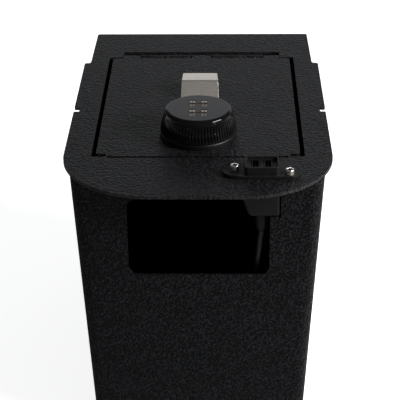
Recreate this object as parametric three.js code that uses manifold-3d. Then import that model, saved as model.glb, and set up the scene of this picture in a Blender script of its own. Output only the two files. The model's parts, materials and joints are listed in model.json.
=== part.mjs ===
// Console safe: a tapered sheet-steel box under a broad top plate. A flush lid swings on a rear hinge and is
// locked by a round combination knob, whose spiral cam slides three bolts under the edge of the opening.
// Millimetres, X to the right, Y to the back, Z up, with the origin under the middle of the plate.

import * as THREE from "three";
import { mergeVertices } from "three/addons/utils/BufferGeometryUtils.js";
import Module from "manifold-3d";

const wasm = await Module();
wasm.setup();

// Fits shared by all pieces
const seatGap = 0.3;
const runningGap = 0.3;
const cutMargin = 1;
const chordError = 0.07;

// Top plate
const safeHeight = 254;
const plateWidth = 222.8;
const plateLength = 350;
const plateThickness = 2.7;
const plateFrontRadius = 75;
const plateStepFromRear = 76.3;
const plateRearInset = 5.7;
const plateBackInset = 6.6;
const plateCornerRadius = 2.5;
const sideSlotFromFront = 165.2;
const sideSlotDepth = 5;
const sideSlotWidth = 8.8;
const sideSlotRounding = 1.2;

// Lid opening: the plate's rim at its front, rear and sides, and what is narrower than the opening
const frontRim = 68.3;
const rearRim = 62;
const sideRim = 22.9;
const openingRounding = 2;
const openingStepInset = 13.4;
const openingStepDepth = 2.4;
const notchInset = 13.25;
const notchLength = 13.4;

// Lid
const lidThickness = 2.7;
const lidSideGap = 3.8;
const lidFrontGap = 0.8;
const lidRearGap = 3.1;
const lidStepInset = 8.1;
const lidStepDepth = 4.2;

// Strips that the closed lid rests on
const restOverlap = 5;
const restInset = 0.3;
const restRim = 5;
const restThickness = 3;

// Hinge
const hingeBehindOpening = 4.2;
const knuckleRadius = 2.9;
const pinRadius = 1.5;
const endKnuckle = 14.8;
const middleKnuckle = 16.6;
const knuckleGap = 0.5;
const slotBeforeKnuckle = 4;
const hingeLeafThickness = 2;
const hingeLeafReach = 24;

// Box under the plate
const boxFront = 32;
const boxFromRear = 12;
const boxFromSide = 8.25;
const boxTaper = 13;
const boxCornerRadius = 10;
const wallThickness = 2.7;
const floorThickness = 2.7;
const windowWidth = 116.4;
const windowShift = 0.8;
const windowTop = 19.5;
const windowBottom = 90.6;
const windowRadius = 8;
const floorHoleRadius = 5;
const floorHoleSpacingX = 120;
const floorHoleSpacingY = 220;

// Knob and its rose
const knobFromFront = 112.8;
const knobHeight = 25;
const knobFootRadius = 32.5;
const knobFaceInset = 6.7;
const knobEdgeRounding = 3;
const roseEdge = 1;
const roseHeight = 5;
const fluteCount = 72;
const fluteDepth = 0.7;
const fluteFoot = 2.6;
const fluteTop = 3.6;
const fluteFade = 0.9;
const backPlateInset = 3;
const backPlateThickness = 3;

// Number wheels and their axles
const wheelRadius = 8.6;
const wheelWidth = 4.6;
const wheelPitch = 10;
const wheelRowOffset = 9.5;
const wheelProud = 1.5;
const wheelGrooves = 10;
const wheelGrooveDepth = 0.55;
const wheelGrooveWidth = 1.6;
const wheelWindowLength = 13;
const indexLength = 3.6;
const indexWidth = 1.2;
const indexDepth = 0.4;
const axleRadius = 1.5;
const axleLength = 24;
const pocketGap = 0.4;

// Lock barrel, spindle and nuts
const sleeveRadius = 11;
const sleeveFlangeRadius = 16;
const sleeveFlangeThickness = 2;
const lockNutAcross = 28;
const lockNutThickness = 4.5;
const sleeveBelowNut = 0.5;
const spindleRadius = 4.5;
const spindleHeadSide = 9.6;
const spindleFlangeRadius = 6.7;
const spindleFlangeThickness = 0.6;
const camSquare = 6.2;
const spindleThreadRadius = 3;
const camWasherRadius = 8;
const camWasherThickness = 1.2;
const camNutAcross = 10;
const camNutThickness = 4.5;
const spindleEnd = 1;

// Spiral cam and bolts
const camRim = 3.2;
const camThickness = 4;
const camTurn = Math.PI / 2;
const slotSteps = 16;
const boltThrow = 12;
const boltPinStart = 12;
const boltPinRadius = 2.5;
const boltWidth = 12;
const boltThickness = 4;
const boltCorner = 1.5;
const boltToRest = 1.5;
const boltDrop = 0.8;
const camDrop = 0.5;

// Angle guides that carry the bolts
const guideWidth = 24;
const guideThickness = 2.5;
const guideFoot = 10;
const guideGap = 0.4;
const guideBelowBolt = 3;
const innerGuideFromCam = 6;
const outerGuideFromRest = 10;
const frontGuideFromCam = 1.6;

// Pull handle
const handleThickness = 1.5;
const handleWidth = 34.2;
const handleTipInset = 1.6;
const handleFootEnd = 72.9;
const handleBend = 85.4;
const handleLip = 16.8;
const handleHeight = 12.5;
const handleBendRadius = 1.5;

// Charging socket
const socketFromSide = 59.4;
const socketFromFront = 41.1;
const flangeThickness = 3;
const flangeRim = 2;
const flangeShift = 0.7;
const flangeLeftRadius = 10;
const flangeRightRadius = 8.2;
const flangeLeftOffset = [-21.4, -1.6];
const flangeRightOffset = [22.6, -4.6];
const leftScrewOffset = [-21.9, 0.1];
const rightScrewOffset = [22.1, -7.6];
const blockWidth = 27.6;
const blockDepth = 23.6;
const blockHeight = 10.3;
const blockCorner = 2.5;
const blockSideWall = 1.4;
const blockFrontWall = 1.5;
const blockRearWall = 3.1;
const recessFall = 2.5;
const recessCorner = 1.5;
const portWidth = 5.9;
const portLength = 13.2;
const portWall = 0.6;
const portHeight = 13;
const portSpacing = 10;
const portProud = 0.6;
const tongueThickness = 2;
const tongueShort = 2;
const neckWidth = 26;
const neckDepth = 16.6;
const neckCorner = 2;
const neckBelow = 10;
const screwHeadRadius = 3.6;
const screwHeadHeight = 4.1;
const screwShankRadius = 2;
const screwShort = 0.3;
const hexKeyAcross = 3.2;
const hexKeyDepth = 2.6;
const knobScrewRadius = 1.5;
const knobScrewHeadRadius = 2.8;
const knobScrewHeadHeight = 1.4;
const knobScrewLength = 8;
const knobScrewOffset = 20;

// Body under the socket, its boss, and the lead
const bodyLeftWall = 4.7;
const bodyRightWall = 2.1;
const bodyFrontWall = 0.9;
const bodyRearWall = 3;
const bodyStraight = 14.7;
const bodyBottom = 35.5;
const bodyFootLeft = 10.7;
const bodyCorner = 3;
const bossOffset = [1, 3.4];
const bossRadius = 5.9;
const bossLength = 18.5;
const bossTipRadius = 3.6;
const bossTaper = 3.5;
const leadRadius = 2.85;
const leadSides = 10;
const leadSteps = 34;
const plugGripLength = 22;
const plugGripWidth = 12.5;
const plugGripHeight = 7.5;
const plugGripCorner = 2;
const plugShellLength = 18;
const plugShellWidth = 12;
const plugShellHeight = 4.5;
const plugShellWall = 0.5;
const leadFloorGap = 0.2;

// Route of the lead: offsets to the right of and behind the boss, and the share of its hang that is left
const leadRoute = [
  [0, 0, 0.997], [-0.2, 0, 0.985], [-0.9, 0, 0.966], [-1.4, 0.1, 0.939], [-2, 0.2, 0.903],
  [-3, 0.5, 0.856], [-4.7, 1.5, 0.753], [-7, 3.5, 0.609], [-10, 6.5, 0.455], [-13.5, 9.5, 0.301],
  [-18, 12, 0.167], [-25, 13.5, 0.07], [-35.5, 14.5, 0.0165], [-48, 15.5, 0.0015], [-61, 16, 0],
  [-73, 16.5, 0.001], [-82, 16.5, 0.0045], [-89, 16.5, 0.0055],
];

// Heights in the top group, where zero is the upper face of the plate
const boxHeight = safeHeight - plateThickness;
const knobBottom = roseHeight + runningGap;
const sleeveBottom = -lidThickness - lockNutThickness - sleeveBelowNut;
const boltTop = sleeveBottom - boltDrop;
const boltBottom = boltTop - boltThickness;
const camTop = boltBottom - camDrop;
const camBottom = camTop - camThickness;
const washerTop = camBottom - seatGap;
const washerBottom = washerTop - camWasherThickness;
const camNutBottom = washerBottom - camNutThickness;
const axleHeight = knobHeight + wheelProud - wheelRadius;
const backPlateTop = knobBottom + backPlateThickness;
const recessFloor = blockHeight - recessFall;
const portTop = recessFloor + portProud;
const portBottom = portTop - portHeight;

// Distances across and along the plate, the opening and the lid
const plateHalf = plateWidth / 2;
const plateStep = plateLength - plateStepFromRear;
const openingHalf = plateHalf - sideRim;
const openingFront = frontRim;
const openingRear = plateLength - rearRim;
const openingStepHalf = openingHalf - openingStepInset;
const notchHalf = openingHalf - notchInset;
const notchRear = openingRear + notchLength;
const hingeFromFront = openingRear + hingeBehindOpening;
const lidHalf = openingHalf - lidSideGap;
const lidStepHalf = lidHalf - lidStepInset;
const lidFront = openingFront + openingStepDepth + lidFrontGap;
const lidRear = openingRear - lidRearGap;
const tongueHalf = notchHalf - knuckleGap;
const restOuterHalf = lidHalf - restInset;
const restInnerHalf = lidHalf - restOverlap;
const restFrontInner = lidFront + restOverlap;
const sideBoltEnd = restInnerHalf - boltToRest;
const frontBoltEnd = knobFromFront - restFrontInner - boltToRest;
const boxTopHalf = plateHalf - boxFromSide;
const boxBack = plateLength - boxFromRear;

// Radii and places that follow from the knob, the bolts and the socket
const knobFaceRadius = knobFootRadius - knobFaceInset;
const backPlateRadius = knobFootRadius - backPlateInset;
const camRadius = boltPinStart + boltThrow + boltPinRadius + runningGap + camRim;
const innerGuideTab = camRadius + innerGuideFromCam;
const outerGuideTab = restInnerHalf - outerGuideFromRest;
const frontGuideTab = camRadius + frontGuideFromCam;
const socketX = plateHalf - socketFromSide;
const recessWidth = blockWidth - 2 * blockSideWall;
const recessDepth = blockDepth - blockFrontWall - blockRearWall;
const recessShift = (blockFrontWall - blockRearWall) / 2;
const bodyLeft = neckWidth / 2 + seatGap + bodyLeftWall;
const bodyRight = neckWidth / 2 + seatGap + bodyRightWall;
const bodyFront = neckDepth / 2 + seatGap + bodyFrontWall;
const bodyRear = neckDepth / 2 + seatGap + bodyRearWall;
const leadTop = safeHeight - bodyBottom - bossLength;
const leadLow = floorThickness + leadRadius + leadFloorGap;

// Materials
function finish(color, roughness, metalness) {
  return new THREE.MeshStandardMaterial({ color, roughness, metalness });
}
const finePowderCoat = () => finish(0x2a2a2c, 0.62, 0);
const coarsePowderCoat = () => finish(0x18191c, 0.55, 0);
const stainlessSteel = () => finish(0xb5aea2, 0.32, 1);
const zincSteel = () => finish(0xa9abad, 0.35, 1);
const brightSteel = () => finish(0xd6d6d4, 0.22, 1);
const blackNickel = () => finish(0x4d4c4a, 0.4, 1);
const warmNickel = () => finish(0xb8ada3, 0.36, 1);
const glossBlackPlastic = () => finish(0x111113, 0.12, 0);
const mattBlackPlastic = () => finish(0x1c1c1e, 0.6, 0);
const greyPlastic = () => finish(0x2c2d30, 0.55, 0);
const leadJacket = () => finish(0x202124, 0.5, 0);

// Distance back from the plate's front edge, as a Y coordinate
function back(fromFront) {
  return fromFront - plateLength / 2;
}

// Outlines
function arcSteps(radius, angle) {
  const step = 2 * Math.acos(1 - Math.min(chordError / radius, 0.5));
  return Math.max(2, Math.ceil(Math.abs(angle) / step));
}

function arc(x, y, radius, from, to) {
  const steps = arcSteps(radius, to - from);
  return Array.from({ length: steps + 1 }, (_, i) => {
    const angle = from + ((to - from) * i) / steps;
    return new THREE.Vector2(x + radius * Math.cos(angle), y + radius * Math.sin(angle));
  });
}

function circle(radius, x = 0, y = 0) {
  return arc(x, y, radius, 0, 2 * Math.PI).slice(0, -1);
}

function withoutRepeats(points) {
  return points.filter((point, i) => point.distanceTo(points[(i + 1) % points.length]) > 1e-4);
}

// A closed outline through corners given as [x, y, rounding]
function outline(corners) {
  const points = corners.flatMap(([x, y, radius = 0], i) => {
    const here = new THREE.Vector2(x, y);
    if (radius === 0) {
      return [here];
    }
    const [px, py] = corners[(i + corners.length - 1) % corners.length];
    const [nx, ny] = corners[(i + 1) % corners.length];
    const toPrevious = new THREE.Vector2(px, py).sub(here).normalize();
    const toNext = new THREE.Vector2(nx, ny).sub(here).normalize();
    const half = Math.acos(THREE.MathUtils.clamp(toPrevious.dot(toNext), -1, 1)) / 2;
    const middle = toPrevious.clone().add(toNext).normalize();
    const centre = here.clone().addScaledVector(middle, radius / Math.sin(half));
    const start = here.clone().addScaledVector(toPrevious, radius / Math.tan(half)).sub(centre);
    const turn = Math.sign(toNext.cross(toPrevious)) * (Math.PI - 2 * half);
    return arc(centre.x, centre.y, radius, start.angle(), start.angle() + turn);
  });
  return withoutRepeats(points);
}

function rectangle(width, depth, rounding = 0, x = 0, y = 0) {
  const right = x + width / 2;
  const left = x - width / 2;
  const rear = y + depth / 2;
  const front = y - depth / 2;
  return outline([
    [left, front, rounding], [right, front, rounding], [right, rear, rounding], [left, rear, rounding],
  ]);
}

// Corners of the right half, front to back, repeated on the left in the opposite order
function mirrored(corners) {
  const left = corners.map(([x, y, radius]) => [-x, y, radius]).reverse();
  return [...corners, ...left];
}

function hexagon(across, x = 0, y = 0) {
  const radius = across / Math.sqrt(3);
  return Array.from({ length: 6 }, (_, i) => {
    const angle = (i * Math.PI) / 3;
    return new THREE.Vector2(x + radius * Math.cos(angle), y + radius * Math.sin(angle));
  });
}

// The stretched-band outline round a set of points
function band(points) {
  const sorted = [...points].sort((a, b) => a.x - b.x || a.y - b.y);
  const side = (list) => {
    const kept = [];
    for (const point of list) {
      while (kept.length > 1 && turnsRight(kept.at(-2), kept.at(-1), point)) {
        kept.pop();
      }
      kept.push(point);
    }
    return kept.slice(0, -1);
  };
  return withoutRepeats([...side(sorted), ...side(sorted.reverse())]);
}

function turnsRight(a, b, c) {
  return b.clone().sub(a).cross(c.clone().sub(a)) <= 1e-9;
}

// Solids from outlines
const xAxis = new THREE.Vector3(1, 0, 0);
const yAxis = new THREE.Vector3(0, 1, 0);
const zAxis = new THREE.Vector3(0, 0, 1);

function slab(points, low, high, holes = []) {
  const shape = new THREE.Shape(points);
  shape.holes = holes.map((hole) => new THREE.Path(hole));
  const geometry = new THREE.ExtrudeGeometry(shape, { depth: high - low, bevelEnabled: false });
  return geometry.translate(0, 0, low);
}

// The outline's x and y become X and Z
function slabAlongY(points, front, rear, holes = []) {
  const turn = new THREE.Matrix4().makeBasis(xAxis, zAxis, yAxis.clone().negate());
  return slab(points, -rear, -front, holes).applyMatrix4(turn);
}

// The outline's x and y become Y and Z
function slabAlongX(points, left, right, holes = []) {
  const turn = new THREE.Matrix4().makeBasis(yAxis, zAxis, xAxis);
  return slab(points, left, right, holes).applyMatrix4(turn);
}

function post(radius, low, high, x = 0, y = 0) {
  return slab(circle(radius, x, y), low, high);
}

function barAlongX(radius, left, right, y, z) {
  return slabAlongX(circle(radius, y, z), left, right);
}

function block(x0, x1, y0, y1, z0, z1) {
  const geometry = new THREE.BoxGeometry(x1 - x0, y1 - y0, z1 - z0);
  return geometry.translate((x0 + x1) / 2, (y0 + y1) / 2, (z0 + z1) / 2);
}

// A turned solid from a closed profile of radius and height
function turned(profile, steps) {
  const points = [...profile, profile[0]].map(([radius, height]) => new THREE.Vector2(radius, height));
  return new THREE.LatheGeometry(points, steps).rotateX(Math.PI / 2);
}

// A skin through rings that have the same number of points, closed at both ends
function loft(rings) {
  const count = rings[0].length;
  const faces = [];
  for (let ring = 0; ring < rings.length - 1; ring += 1) {
    for (let i = 0; i < count; i += 1) {
      const low = ring * count + i;
      const lowNext = ring * count + ((i + 1) % count);
      faces.push(low, lowNext, lowNext + count, low, lowNext + count, low + count);
    }
  }
  const flat = (ring) => ring.map((point) => new THREE.Vector2(point.x, point.y));
  const lastStart = (rings.length - 1) * count;
  for (const [a, b, c] of THREE.ShapeUtils.triangulateShape(flat(rings[0]), [])) {
    faces.push(a, c, b);
  }
  for (const [a, b, c] of THREE.ShapeUtils.triangulateShape(flat(rings.at(-1)), [])) {
    faces.push(lastStart + a, lastStart + b, lastStart + c);
  }
  const geometry = new THREE.BufferGeometry();
  const numbers = rings.flat().flatMap((point) => [point.x, point.y, point.z]);
  geometry.setAttribute("position", new THREE.Float32BufferAttribute(numbers, 3));
  geometry.setIndex(faces);
  return geometry;
}

function ringAt(points, height) {
  return points.map((point) => new THREE.Vector3(point.x, point.y, height));
}

// Joins and cuts
function toSolid(geometry) {
  const bare = geometry.clone();
  bare.deleteAttribute("normal");
  bare.deleteAttribute("uv");
  const merged = mergeVertices(bare, 1e-4);
  const index = Array.from(merged.index.array);
  const kept = [];
  for (let i = 0; i < index.length; i += 3) {
    const [a, b, c] = index.slice(i, i + 3);
    if (a !== b && b !== c && c !== a) {
      kept.push(a, b, c);
    }
  }
  const vertProperties = new Float32Array(merged.attributes.position.array);
  return new wasm.Manifold(new wasm.Mesh({ numProp: 3, vertProperties, triVerts: new Uint32Array(kept) }));
}

function toGeometry(solid) {
  const { vertProperties, triVerts } = solid.getMesh();
  const geometry = new THREE.BufferGeometry();
  geometry.setAttribute("position", new THREE.BufferAttribute(vertProperties, 3));
  geometry.setIndex(new THREE.BufferAttribute(triVerts, 1));
  geometry.computeVertexNormals();
  return geometry;
}

function join(first, ...others) {
  return toGeometry(others.reduce((whole, other) => whole.add(toSolid(other)), toSolid(first)));
}

function cut(first, ...tools) {
  return toGeometry(tools.reduce((whole, tool) => whole.subtract(toSolid(tool)), toSolid(first)));
}

function overlap(first, second) {
  return toGeometry(toSolid(first).intersect(toSolid(second)));
}

function piece(name, geometry, material) {
  const mesh = new THREE.Mesh(toGeometry(toSolid(geometry)), material);
  mesh.name = name;
  return mesh;
}

function group(x, y, z, ...children) {
  const holder = new THREE.Group();
  holder.position.set(x, y, z);
  holder.add(...children);
  return holder;
}

// Top plate with its lid opening and the hole for the socket
function topPlate() {
  const half = plateHalf;
  const slotFront = back(sideSlotFromFront - sideSlotWidth / 2);
  const slotRear = back(sideSlotFromFront + sideSlotWidth / 2);
  const edge = mirrored([
    [half, back(0), plateFrontRadius],
    [half, slotFront, sideSlotRounding],
    [half - sideSlotDepth, slotFront, sideSlotRounding],
    [half - sideSlotDepth, slotRear, sideSlotRounding],
    [half, slotRear, sideSlotRounding],
    [half, back(plateStep), plateCornerRadius],
    [half - plateRearInset, back(plateStep), plateCornerRadius],
    [half - plateBackInset, back(plateLength), plateCornerRadius],
  ]);
  const opening = mirrored([
    [openingStepHalf, back(openingFront)],
    [openingStepHalf, back(openingFront + openingStepDepth)],
    [openingHalf, back(openingFront + openingStepDepth), openingRounding],
    [openingHalf, back(openingRear), openingRounding],
    [notchHalf, back(openingRear)],
    [notchHalf, back(notchRear)],
  ]);
  const socketY = back(socketFromFront);
  const neckHole = rectangle(neckWidth + 2 * seatGap, neckDepth + 2 * seatGap, neckCorner, socketX, socketY);
  const screwHoles = [leftScrewOffset, rightScrewOffset].map(([dx, dy]) =>
    circle(screwShankRadius + seatGap, socketX + dx, socketY + dy));
  const holes = [outline(opening), neckHole, ...screwHoles];
  return piece("top_plate", slab(outline(edge), -plateThickness, 0, holes), finePowderCoat());
}

// Box walls: half the box's outer width at a height over its underside
function boxHalf(height) {
  return boxTopHalf - boxTaper * (1 - height / boxHeight);
}

// The front and both sides are one sheet, bent at two upright corners. Its front is cut for the window and,
// from the upper edge, for the body under the socket
function boxShell() {
  const taper = Math.atan2(boxTaper, boxHeight);
  const front = back(boxFront);
  const rear = back(boxBack) - wallThickness;
  const section = (height) => {
    const outer = boxHalf(height);
    const inner = outer - wallThickness / Math.cos(taper);
    const innerFront = front + wallThickness;
    const innerRadius = boxCornerRadius - wallThickness;
    return ringAt(outline([
      [-outer, rear], [-outer, front, boxCornerRadius], [outer, front, boxCornerRadius], [outer, rear],
      [inner, rear], [inner, innerFront, innerRadius], [-inner, innerFront, innerRadius], [-inner, rear],
    ]), height);
  };
  const windowMiddle = safeHeight - (windowTop + windowBottom) / 2;
  const opening = rectangle(windowWidth, windowBottom - windowTop, windowRadius, windowShift, windowMiddle);
  const before = front - cutMargin;
  const behind = front + wallThickness + cutMargin;
  const window = slabAlongY(opening, before, behind);
  const bodySlot = block(socketX - bodyLeft - seatGap, socketX + bodyRight + seatGap, before, behind,
    safeHeight - bodyBottom - seatGap, safeHeight);
  const walls = loft([section(floorThickness), section(boxHeight)]);
  return piece("box_shell", cut(walls, window, bodySlot), coarsePowderCoat());
}

function backPanel() {
  const rear = back(boxBack);
  const edge = outline([
    [-boxHalf(floorThickness), floorThickness], [boxHalf(floorThickness), floorThickness],
    [boxHalf(boxHeight), boxHeight], [-boxHalf(boxHeight), boxHeight],
  ]);
  return piece("back_panel", slabAlongY(edge, rear - wallThickness, rear), coarsePowderCoat());
}

function floorPanel() {
  const half = boxHalf(0);
  const middle = back((boxFront + boxBack) / 2);
  const holes = [-1, 1].flatMap((sx) => [-1, 1].map((sy) =>
    circle(floorHoleRadius, (sx * floorHoleSpacingX) / 2, middle + (sy * floorHoleSpacingY) / 2)));
  const edge = outline([
    [-half, back(boxFront), boxCornerRadius], [half, back(boxFront), boxCornerRadius],
    [half, back(boxBack)], [-half, back(boxBack)],
  ]);
  return piece("floor_panel", slab(edge, 0, floorThickness, holes), coarsePowderCoat());
}

// Strips under the lid's edges, held at their ends under the rim of the opening, which carry the closed lid
function lidRests() {
  const high = -plateThickness - seatGap;
  const low = high - restThickness;
  const front = back(openingFront - restRim);
  const frontInner = back(restFrontInner);
  const rear = back(openingRear + restRim);
  const strip = (name, x0, x1, y0, y1) => piece(name, block(x0, x1, y0, y1, low, high), finePowderCoat());
  return [
    strip("lid_rest_left", -restOuterHalf, -restInnerHalf, front, rear),
    strip("lid_rest_right", restInnerHalf, restOuterHalf, front, rear),
    strip("lid_rest_front", -restInnerHalf, restInnerHalf, front, frontInner),
  ];
}

// Hinge: three knuckles on the lid and two on the fixed leaf, along one pin
const knuckleSpans = {
  lid: [
    [-tongueHalf, -tongueHalf + endKnuckle],
    [-middleKnuckle / 2, middleKnuckle / 2],
    [tongueHalf - endKnuckle, tongueHalf],
  ],
  leaf: [
    [-tongueHalf + endKnuckle + knuckleGap, -middleKnuckle / 2 - knuckleGap],
    [middleKnuckle / 2 + knuckleGap, tongueHalf - endKnuckle - knuckleGap],
  ],
};

function knuckles(spans) {
  return spans.map(([left, right]) =>
    barAlongX(knuckleRadius, left, right, back(hingeFromFront), -knuckleRadius));
}

function pinBore() {
  return barAlongX(pinRadius + runningGap, -notchHalf, notchHalf, back(hingeFromFront), -knuckleRadius);
}

function hingeLeaf() {
  const high = -plateThickness;
  const low = high - hingeLeafThickness;
  const clear = back(hingeFromFront + knuckleRadius + 2 * knuckleGap);
  const rear = back(hingeFromFront + hingeLeafReach);
  const right = knuckleSpans.leaf[1][1];
  const strip = block(-right, right, clear, rear, low, high);
  const arms = knuckleSpans.leaf.map(([x0, x1]) => block(x0, x1, back(hingeFromFront), clear, low, high));
  const whole = join(strip, ...arms, ...knuckles(knuckleSpans.leaf));
  return piece("hinge_leaf", cut(whole, pinBore()), finePowderCoat());
}

function hingePin() {
  const bar = barAlongX(pinRadius, -tongueHalf, tongueHalf, back(hingeFromFront), -knuckleRadius);
  return piece("hinge_pin", bar, zincSteel());
}

function lidPanel() {
  const slotEdge = back(hingeFromFront - knuckleRadius - slotBeforeKnuckle);
  const axis = back(hingeFromFront);
  const edge = mirrored([
    [lidStepHalf, back(lidFront)],
    [lidStepHalf, back(lidFront + lidStepDepth)],
    [lidHalf, back(lidFront + lidStepDepth), openingRounding],
    [lidHalf, back(lidRear), openingRounding],
    [tongueHalf, back(lidRear)],
    [tongueHalf, axis],
    [tongueHalf - endKnuckle, axis],
    [tongueHalf - endKnuckle, slotEdge],
    [middleKnuckle / 2, slotEdge],
    [middleKnuckle / 2, axis],
  ]);
  const lockHole = circle(sleeveRadius + seatGap, 0, back(knobFromFront));
  const sheet = slab(outline(edge), -lidThickness, 0, [lockHole]);
  const whole = join(sheet, ...knuckles(knuckleSpans.lid));
  return piece("lid_panel", cut(whole, pinBore()), finePowderCoat());
}

// Outline of a strip folded along a line of [distance, height] points, lying on that line
function foldedStrip(line, thickness, bendRadius) {
  const points = line.map(([x, y]) => new THREE.Vector2(x, y));
  const lower = [];
  const upper = [];
  points.forEach((point, i) => {
    const before = points[Math.max(i - 1, 0)];
    const after = points[Math.min(i + 1, points.length - 1)];
    const isEnd = i === 0 || i === points.length - 1;
    const into = isEnd ? after.clone().sub(before).normalize() : point.clone().sub(before).normalize();
    const out = isEnd ? into : after.clone().sub(point).normalize();
    const normal = new THREE.Vector2(-into.y - out.y, into.x + out.x).normalize();
    const reach = thickness / normal.dot(new THREE.Vector2(-into.y, into.x));
    const bendsUp = into.cross(out) > 0;
    const inner = isEnd ? 0 : bendRadius;
    const outer = isEnd ? 0 : bendRadius + thickness;
    const top = point.clone().addScaledVector(normal, reach);
    lower.push([point.x, point.y, bendsUp ? outer : inner]);
    upper.unshift([top.x, top.y, bendsUp ? inner : outer]);
  });
  return outline([...lower, ...upper]);
}

// Pull handle, in the knob's place: its foot is clamped under the rose
function pullHandle() {
  const half = handleWidth / 2;
  const tip = handleBend + handleLip;
  const profile = foldedStrip(
    [[-half, 0], [handleFootEnd, 0], [handleBend, handleHeight], [tip, handleHeight]],
    handleThickness, handleBendRadius,
  );
  const plan = outline([
    [-half, -half, half], [half, -half, half], [half, handleFootEnd],
    [half - handleTipInset, tip, handleBendRadius], [handleTipInset - half, tip, handleBendRadius],
    [-half, handleFootEnd],
  ]);
  const strip = overlap(slabAlongX(profile, -half, half), slab(plan, 0, handleHeight + handleThickness));
  const hole = post(sleeveRadius + seatGap, -cutMargin, handleThickness + cutMargin);
  return piece("pull_handle", cut(strip, hole), stainlessSteel());
}

// Rose: the still ring under the knob, with a channel for the handle's foot
function knobRose() {
  const bore = sleeveRadius + seatGap;
  const seat = sleeveFlangeRadius + seatGap;
  const seatFloor = roseHeight - sleeveFlangeThickness;
  const ring = turned([
    [bore, 0], [knobFootRadius, 0], [knobFootRadius, roseHeight - roseEdge],
    [knobFootRadius - roseEdge, roseHeight], [seat, roseHeight], [seat, seatFloor], [bore, seatFloor],
  ], arcSteps(knobFootRadius, 2 * Math.PI));
  const half = handleWidth / 2 + seatGap;
  const channelPlan = outline([
    [-half, -half, half], [half, -half, half], [half, 2 * knobFootRadius], [-half, 2 * knobFootRadius],
  ]);
  const channel = slab(channelPlan, -cutMargin, handleThickness + seatGap);
  return piece("knob_rose", cut(ring, channel), glossBlackPlastic());
}

function lockSleeve() {
  const flangeBottom = roseHeight - sleeveFlangeThickness;
  const barrel = join(
    post(sleeveFlangeRadius, flangeBottom, roseHeight),
    post(sleeveRadius, sleeveBottom, roseHeight),
  );
  const bore = post(spindleRadius + runningGap, sleeveBottom - cutMargin, roseHeight + cutMargin);
  return piece("lock_sleeve", cut(barrel, bore), zincSteel());
}

function lockNut() {
  const high = -lidThickness;
  const hole = circle(sleeveRadius + seatGap);
  return piece("lock_nut", slab(hexagon(lockNutAcross), high - lockNutThickness, high, [hole]), zincSteel());
}

// Knob
function knobRing(radius, height, depth) {
  const points = [];
  for (let flute = 0; flute < fluteCount; flute += 1) {
    [[0, depth], [1 / 3, 0], [2 / 3, 0]].forEach(([share, fall]) => {
      const angle = (2 * Math.PI * (flute + share)) / fluteCount;
      const reach = radius - fall;
      points.push(new THREE.Vector3(reach * Math.cos(angle), reach * Math.sin(angle), height));
    });
  }
  return points;
}

// Outer radius of the knob: upright at its foot, drawn in ever more towards the face
function knobRadiusAt(height) {
  const edgeHeight = knobHeight - knobEdgeRounding;
  const share = (height - knobBottom) / (edgeHeight - knobBottom);
  const edgeRadius = knobFaceRadius + knobEdgeRounding;
  return knobFootRadius + (edgeRadius - knobFootRadius) * share ** 2;
}

// Pockets for the wheels and axles, open below, with a window and an index mark in the face
function wheelPockets() {
  const reach = wheelRadius + pocketGap;
  const half = wheelWidth / 2 + runningGap;
  const tools = [];
  const axleHalf = axleLength / 2 + runningGap;
  const bore = axleRadius + runningGap;
  const windowHalf = wheelWindowLength / 2;
  const top = knobHeight + cutMargin;
  for (const row of [-wheelRowOffset, wheelRowOffset]) {
    for (const x of [-wheelPitch / 2, wheelPitch / 2]) {
      tools.push(barAlongX(reach, x - half, x + half, row, axleHeight));
      tools.push(block(x - half, x + half, row - reach, row + reach, knobBottom, axleHeight));
      tools.push(block(x - half, x + half, row - windowHalf, row + windowHalf, axleHeight, top));
    }
    tools.push(block(-indexLength / 2, indexLength / 2, row - indexWidth / 2, row + indexWidth / 2,
      knobHeight - indexDepth, top));
    tools.push(barAlongX(bore, -axleHalf, axleHalf, row, axleHeight));
    tools.push(block(-axleHalf, axleHalf, row - bore, row + bore, knobBottom, axleHeight));
  }
  return tools;
}

function knobShell() {
  const fluteStart = knobBottom + fluteFoot;
  const fluteEnd = knobHeight - fluteTop;
  const edgeHeight = knobHeight - knobEdgeRounding;
  const levels = [
    [knobBottom, 0], [fluteStart, 0], [fluteStart + fluteFade, fluteDepth],
    [(fluteStart + fluteEnd) / 2, fluteDepth], [fluteEnd - fluteFade, fluteDepth], [fluteEnd, 0],
  ];
  const rings = levels.map(([height, depth]) => knobRing(knobRadiusAt(height), height, depth));
  for (const { x, y } of arc(knobFaceRadius, edgeHeight, knobEdgeRounding, 0, Math.PI / 2)) {
    rings.push(knobRing(x, y, 0));
  }
  const seat = post(backPlateRadius + seatGap, knobBottom - cutMargin, backPlateTop);
  const flangeTop = backPlateTop + spindleFlangeThickness + seatGap;
  const flangeSeat = post(spindleFlangeRadius + seatGap, knobBottom, flangeTop);
  const screwBores = [-knobScrewOffset, knobScrewOffset].map((x) =>
    post(knobScrewRadius + seatGap, knobBottom, knobBottom + knobScrewLength + seatGap, x, 0));
  return piece("knob_shell", cut(loft(rings), ...wheelPockets(), seat, flangeSeat, ...screwBores),
    glossBlackPlastic());
}

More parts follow.
